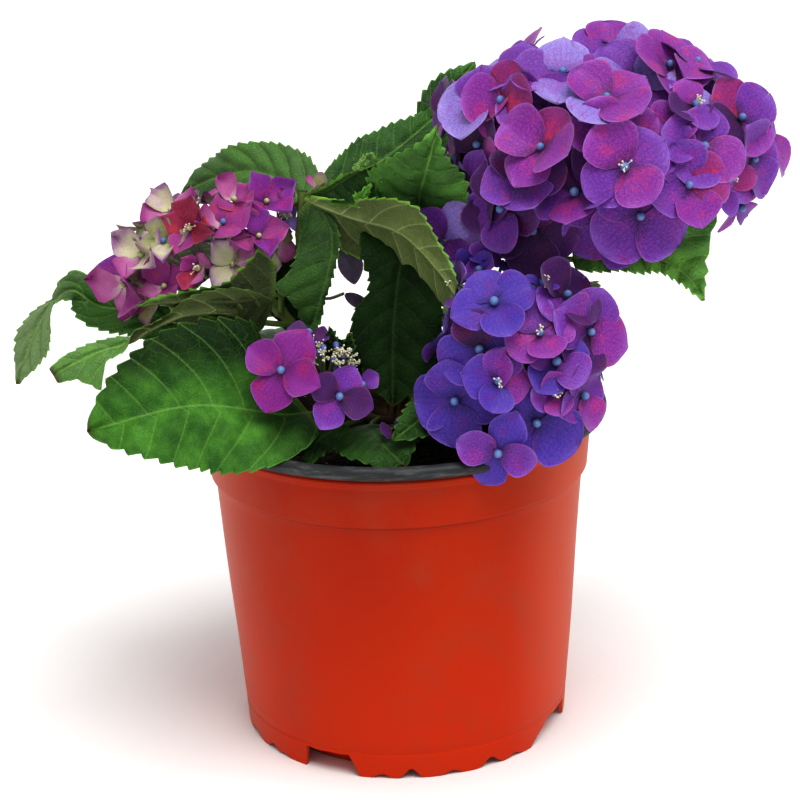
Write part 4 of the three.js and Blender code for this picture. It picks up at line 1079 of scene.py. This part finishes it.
# wide is the greatest half-width as a share of the length, and peak how far along it is; foot and tip are
# how full the two ends are; droop is in degrees, and cup and ruffle are how far the sides rise and the
# edge waves
petalLooks = {
    "round": {
        "wide": 0.62, "foot": 1.9, "tip": (1.3, 2.1), "peak": 0.56, "ruffle": 0.06, "droop": 16, "cup": 0.2,
    },
    "young": {
        "wide": 0.48, "foot": 1.6, "tip": (0.95, 1.3), "peak": 0.5, "ruffle": 0.2, "droop": -8, "cup": 0.75,
    },
}
# the map is cut into this many tiles each way, and each petal takes one of them, inside its margin
petalMap = {"tiles": 4, "margin": 0.04, "rows": 11, "columns": 9}
youngTones = "cgk"
petalRim = (196, 150, 220)


# soft skin with veins, an edge of another colour, patches and a pale rim
def petalMaterial(tone):
    inner, body, outer, patch = (linear(rgb) for rgb in tones[tone])
    deep = darker(inner, 0.5)
    young = tone in youngTones
    paint = Paint("petal_" + tone, 0.55, Specular_IOR_Level=0.3, Sheen_Weight=0.2, Sheen_Roughness=0.4)
    spot = paint.map()
    u, v, _ = paint.parts(spot)
    # c runs across the petal from -1 to 1, and t from its foot at 0 to its tip at 1
    inTile, t = (paint.calc("FRACT", paint.calc("MULTIPLY", part, petalMap["tiles"])) for part in (u, v))
    c = paint.calc("MULTIPLY_ADD", inTile, 2.0, -1.0)
    side = paint.calc("ABSOLUTE", c)
    clouds = paint.noise(spot, 9, 3, 0.6)
    spread = paint.noise(spot, 20, 3, 0.6)
    grainy = paint.noise(spot, 90, 4, 0.8)
    # veins fan out from the foot
    fan = paint.calc("DIVIDE", c, paint.calc("MULTIPLY_ADD", t, 0.35, 0.75))
    shaken = paint.calc("MULTIPLY_ADD", fan, 4.5, paint.calc("MULTIPLY", paint.noise(spot, 22, 3), 1.3))
    rays = paint.ramp(paint.calc("PINGPONG", shaken, 0.5), 0.1, 0.0)
    # how steeply the edge's colour comes in along and across the petal, how much across, and where it is
    # full
    steepAlong, steepAcross, fromSide, full = (2.0, 3.0, 0.6, 1.1) if young else (2.6, 4.0, 0.5, 1.6)
    atSide = paint.calc("POWER", side, steepAcross)
    outwards = paint.calc("MULTIPLY_ADD", atSide, fromSide, paint.calc("POWER", t, steepAlong))
    outwards = paint.calc("MULTIPLY_ADD", spread, 0.5, outwards)
    surface = paint.mix(paint.ramp(t, 0.02, 0.4), inner, body)
    surface = paint.mix(paint.ramp(outwards, 0.45, full, 0, 0.9), surface, outer)
    surface = paint.mix(paint.ramp(clouds, 0.5, 0.66, 0, 0.8), surface, patch)
    surface = paint.mix(paint.ramp(grainy, 0.5, 0.62, 0, 0.35), surface, outer)
    surface = paint.mix(paint.ramp(grainy, 0.48, 0.38, 0, 0.3), surface, deep)
    surface = paint.mix(paint.calc("MULTIPLY", rays, 0.3), surface, body if young else deep)
    rim = paint.calc("MAXIMUM", paint.ramp(side, 0.84, 0.92), paint.ramp(t, 0.925, 0.96))
    rimColour = patch if young else linear(petalRim)
    surface = paint.mix(paint.calc("MULTIPLY", rim, 0.2), surface, rimColour)
    paint.bump(paint.calc("MULTIPLY_ADD", rays, -0.5, paint.calc("MULTIPLY", grainy, 0.4)), 0.3, 0.0004)
    return paint.colour(surface)


# one petal as a curved sheet, cupped, folded, ruffled and creased down its middle
def petal(shape, foot, outward, normal, length, rise, wide, look, rng):
    t = np.sin(np.linspace(0, math.pi / 2, petalMap["rows"]))[:, None] ** 1.15
    c = np.sin(np.linspace(-math.pi / 2, math.pi / 2, petalMap["columns"]))[None]
    peak = look["peak"]
    off = np.where(t < peak, (peak - t) / peak, (t - peak) / (1 - peak))
    power = np.where(t < peak, look["foot"], rng.uniform(*look["tip"]))
    widest = length * look["wide"] * wide * rng.uniform(0.94, 1.08)
    half = np.maximum(widest * np.clip(1 - off**power, 0, 1) ** (1 / power), 0.7 * (1 - t) + 0.02)
    across = half * c
    bend = math.radians(rise) - math.radians(look["droop"] * rng.uniform(0.4, 1.6)) * t
    step = np.diff(t, axis=0, prepend=0) * length
    out = np.cumsum(step * np.cos(bend), axis=0) + 0.8
    up = np.cumsum(step * np.sin(bend), axis=0)
    cup = look["cup"] * rng.uniform(-0.6, 1.4)
    fold = rng.uniform(-0.06, 0.26)
    firstWave, secondWave, _ = rng.uniform(0, tau, 3)
    dished = half * (cup * c**2 + fold * (np.sqrt(c**2 + 0.02) - 0.14)) * smooth(t, 0, 0.5)
    waves = np.sin(3.2 * c + firstWave + 3 * t) + 0.5 * np.sin(7 * c + secondWave)
    ruffled = look["ruffle"] * length * waves * t**2 * np.abs(c)
    crease = 0.03 * length * np.exp(-((c / 0.16) ** 2)) * smooth(t, 0, 0.3)
    dent = rng.uniform(-0.02, 0.05) * length * np.exp(-((c / 0.3) ** 2)) * t**6
    twisted = rng.uniform(-0.1, 0.1) * across * t
    high = up + dished + ruffled - crease + twisted
    side = np.cross(normal, outward)
    points = foot + outward * (out - dent)[..., None] + side * across[..., None] + normal * high[..., None]
    tile = rng.integers(0, petalMap["tiles"], 2)
    inside = 1 - 2 * petalMap["margin"]
    u = (tile[0] + petalMap["margin"] + inside * (c + 1) / 2) / petalMap["tiles"]
    v = (tile[1] + petalMap["margin"] + inside * t) / petalMap["tiles"]
    shape.grid(points, mapOf(u, v))


# a round bead, high times as tall as it is wide
def ball(shape, middle, normal, radius, high, rings=7, around=10):
    up = unit(normal)
    side = unit(np.cross(up, (0.3, 0.7, 0.2)))
    over = np.cross(up, side)
    turn = np.linspace(0, tau, around + 1)[None, :, None]
    fall = np.linspace(0.02, math.pi - 0.02, rings)[:, None, None]
    ring = np.cos(turn) * side + np.sin(turn) * over
    points = middle + radius * (np.sin(fall) * ring + high * np.cos(fall) * up)
    shape.grid(points, mapOf(np.linspace(0, 1, around + 1), np.linspace(1, 0, rings)[:, None]), True)


# the direction that az and el in degrees stand for
def wayOf(az, el):
    az, el = math.radians(az), math.radians(el)
    return np.array([math.cos(el) * math.sin(az), -math.cos(el) * math.cos(az), math.sin(el)])


# tips a head over towards +X by so many degrees
def leaning(lean):
    a = math.radians(lean)
    return np.array([[math.cos(a), 0, math.sin(a)], [0, 1, 0], [-math.sin(a), 0, math.cos(a)]])


# one petal for each letter of tones, every second one a little higher
def addFloret(parts, spot, normal, turn, size, rise, letters, look, rng, wide=1.0):
    normal = unit(normal)
    right = unit(np.cross((0, 0, 1), normal)) if abs(normal[2]) < 0.98 else np.array([1.0, 0, 0])
    above = np.cross(normal, right)
    for k, tone in enumerate(letters):
        angle = math.radians(turn + 360 / len(letters) * k + rng.normal(0, 5))
        outward = right * math.cos(angle) + above * math.sin(angle)
        upper = k % 2
        petalRise = rise + (3 if upper else -3) + rng.normal(0, 3)
        length = size * rng.normal(1, 0.05)
        foot = spot + normal * 0.5 * upper
        petal(parts["petals_" + tone], foot, outward, normal, length, petalRise, wide, look, rng)


# material, darker foot, lighter top and roughness of the small parts
beadPaint = {
    "beads": ("floret_beads", (48, 66, 130), (112, 142, 196), 0.5),
    "stalks": ("floret_stalks", (96, 84, 92), (132, 138, 96), 0.6),
    "stamens": ("stamens", (206, 204, 176), (238, 234, 212), 0.7),
    "greenbeads": ("young_beads", (150, 160, 104), (196, 204, 150), 0.5),
    "buds": ("lacecap_buds", (54, 62, 140), (104, 120, 190), 0.5),
    "cream": ("fertile_flowers", (168, 160, 132), (226, 218, 190), 0.8),
}


def beadMaterial(name, foot, top, roughness):
    paint = Paint(name, roughness, Specular_IOR_Level=0.4)
    spot = paint.map()
    clouds = paint.calc("MULTIPLY", paint.noise(spot, 9, 2), 0.5)
    mixed = paint.calc("MULTIPLY_ADD", paint.parts(spot)[1], 0.7, clouds)
    return paint.colour(paint.mix(paint.ramp(mixed, 0.35, 0.95), linear(foot), linear(top)))


bloomMaterials = {key: beadMaterial(*given) for key, given in beadPaint.items()}
for tone in tones:
    bloomMaterials["petals_" + tone] = petalMaterial(tone)


# the shapes of one head by material, each made when it is first asked for
class Parts(dict):
    def __missing__(self, key):
        self[key] = Shape()
        return self[key]


# the first piece stands for the head's node, where it has one
def finishParts(name, parts, nodes):
    for index, (key, shape) in enumerate(sorted(parts.items())):
        addPiece(f"{name}_{key}", shape, bloomMaterials[key], nodes if index == 0 else [])


def addStamens(parts, spot, normal, rng, amount=7):
    for _ in range(amount):
        aim = unit(unit(normal) + 0.45 * rng.normal(size=3))
        end = spot + aim * rng.uniform(2.5, 4)
        tube(parts["stamens"], Curve([spot, (spot + end) / 2, end]), lambda a: 0.2, 3, 4)
        ball(parts["stamens"], end, aim, 0.55, 1, 4, 5)


spiralSpots = 420


# fills the gaps of a head with florets, at spots on a spiral that runs evenly over a whole ball
def fillHead(spec, placed, rng):
    turnBy = leaning(spec["lean"])
    nearest = math.cos(math.radians(spec["gap"]))
    for k in range(spiralSpots):
        z = 1 - 2 * (k + 0.5) / spiralSpots
        angle = k * math.pi * (3 - math.sqrt(5))
        flat = math.sqrt(1 - z * z)
        way = np.array([flat * math.cos(angle), flat * math.sin(angle), z])
        taken = any(np.dot(way, other[0]) > nearest for other in placed)
        if taken or math.degrees(math.asin(z)) < spec["lowest"]:
            continue
        way = unit(way + rng.normal(0, 0.05, 3))
        out = unit(unit(way / spec["half"]) + rng.normal(0, 0.12, 3) + (0, 0, 0.15))
        first, second, third, _ = rng.choice(list(spec["fill"]), 4)
        turn = rng.uniform(0, 90)
        size = spec["size"] * rng.uniform(0.88, 1.06)
        rise = rng.uniform(8, 20)
        depth = spec["sunk"] * rng.uniform(0.86, 0.93)
        placed.append((way, turnBy @ out, turn, size, rise, first + first + second + third, 1.0, depth))


def buildBloom(name, spec):
    rng = np.random.default_rng(spec["seed"])
    turnBy = leaning(spec["lean"])
    middle, half = np.array(spec["middle"], float), np.array(spec["half"], float)
    young = spec["style"] == "young"
    parts = Parts()
    placed = []
    for az, el, faceAz, faceEl, turn, size, rise, letters, *rest in spec["florets"]:
        wide, depth = (*rest, 1.0, 1.0)[:2]
        placed.append((wayOf(az, el), wayOf(faceAz, faceEl), turn, size, rise, letters, wide, depth))
    fillHead(spec, placed, rng)
    # the stalk goes on from the stem's end to the heart of the head, and the florets' stalks fan out from
    # there
    stemEnd = np.array(stems[spec["stem"]][0][-1], float)
    heart = middle - turnBy @ (half * (0, 0, 0.55))
    tube(parts["stalks"], Curve([stemEnd - (0, 0, 6), (stemEnd + heart) / 2, heart]), lambda a: 2.2, 8, 8)
    for way, normal, turn, size, rise, letters, wide, depth in placed:
        spot = middle + turnBy @ (half * way * spec["reach"] * depth) - normal * 2.5
        addFloret(parts, spot, normal, turn, size, rise, letters, petalLooks[spec["style"]], rng, wide)
        bead = (1.5 if young else 2.0) * rng.uniform(0.85, 1.1)
        kind = "greenbeads" if young and rng.random() < 0.7 else "beads"
        ball(parts[kind], spot + normal * (bead * 0.9 + 0.5), normal, bead, 1.05)
        if rng.random() < 0.12:
            addStamens(parts, spot + normal * bead * 1.6, normal, rng)
        bow = (heart + spot) / 2 - (0, 0, 3)
        tube(parts["stalks"], Curve([heart, bow, spot - normal * 3, spot]), lambda a: 0.95 - 0.3 * a, 8, 6)
    finishParts(name, parts, [name])
    print(name, len(placed), "florets,", len(spec["florets"]), "of them placed by hand")


# the low flat head: a few outer florets round a dome of buds and tiny open flowers; each floret has its
# place, the way it faces as az and el, its turn, petal length, rise and tones
lacecap = {
    "middle": (-30, -58, 198), "half": (12, 10, 10), "fertile": 54, "stem": "stem_low", "seed": 4,
    "look": {
        **petalLooks["round"], "wide": 0.51, "foot": 1.7, "tip": (1.2, 1.45), "peak": 0.55, "droop": 8,
    },
    "florets": [
        ((-50, -70, 198), (-12, 30), 66, 19.5, 6, "dddd"),
        ((-25.5, -72, 186), (14, 16), 58, 15.5, 8, "vpvp"),
        ((-16, -63, 188), (30, 20), 25, 9.5, 10, "v"),
        ((-38, -52, 209), (-10, 50), 170, 9, 12, "pp"),
    ],
}


def buildLacecap():
    rng = np.random.default_rng(lacecap["seed"])
    parts = Parts()
    heart = np.array(stems[lacecap["stem"]][0][-1], float)
    for spot, face, turn, size, rise, letters in lacecap["florets"]:
        spot, normal = np.array(spot, float), wayOf(*face)
        addFloret(parts, spot, normal, turn, size, rise, letters, lacecap["look"], rng)
        ball(parts["beads"], spot + normal * 1.8, normal, 1.9, 1)
        tube(parts["stalks"], Curve([heart, (heart + spot) / 2 - (0, 0, 3), spot]), lambda a: 0.9, 8, 6)
    for _ in range(lacecap["fertile"]):
        way = unit(rng.normal(size=3) * (1, 1, 0.6) + (0, 0, 0.45))
        spot = np.array(lacecap["middle"], float) + way * lacecap["half"] * rng.uniform(0.7, 1)
        tube(parts["stalks"], Curve([heart, (heart + spot) / 2, spot]), lambda a: 0.5, 6, 5)
        if rng.random() < 0.5:
            ball(parts["buds"], spot, way, rng.uniform(0.9, 1.9), 1.1)
        else:
            for _ in range(5):
                ball(parts["cream"], spot + rng.normal(0, 1.2, 3), way, rng.uniform(0.45, 0.8), 1, 4, 6)
            addStamens(parts, spot, way, rng, 4)
    finishParts("bloom_lacecap_front", parts, ["bloom_lacecap_front"])


# single florets on their own stalks: root, place, the way each faces as az and el, turn, petal length,
# rise, tones and the petals' breadth
strays = [
    ((-40, -5, 262), (-33, -8, 266), (0, 60), 60, 7, 66, "gkg", 0.8),
    ((-38, -4, 240), (-21, -8, 241), (-8, 10), 275, 21, 0, "xx", 0.42),
    ((-38, -4, 214), (-23, -10, 216), (20, 0), 317, 12.5, 0, "x", 0.4),
    ((42, -30, 214), (24, -26, 244), (-24, 6), 40, 19, 6, "lvlv", 0.95),
    ((42, -30, 214), (33, -38, 234), (0, 40), 20, 8, 40, "bbbb", 0.7),
    ((42, -30, 214), (41, -38, 238), (-20, 50), 60, 8, 50, "bvbv", 0.7),
    ((42, -30, 214), (50, -36, 236), (20, 40), 0, 9, 34, "bbvb", 0.7),
    ((-10, -20, 155), (-2, -62, 166), (10, 40), 20, 8, 40, "pp", 0.8),
]


def buildStrays():
    rng = np.random.default_rng(31)
    parts = Parts()
    for root, spot, face, turn, size, rise, letters, wide in strays:
        root, spot = np.array(root, float), np.array(spot, float)
        addFloret(parts, spot, wayOf(*face), turn, size, rise, letters, petalLooks["round"], rng, wide)
        tube(parts["stalks"], Curve([root, (root + spot) / 2 - (0, 0, 2), spot]), lambda a: 0.8, 10, 6)
    finishParts("strays", parts, [])


for name, spec in blooms.items():
    buildBloom(name, spec)
buildLacecap()
buildStrays()
print("blooms done")
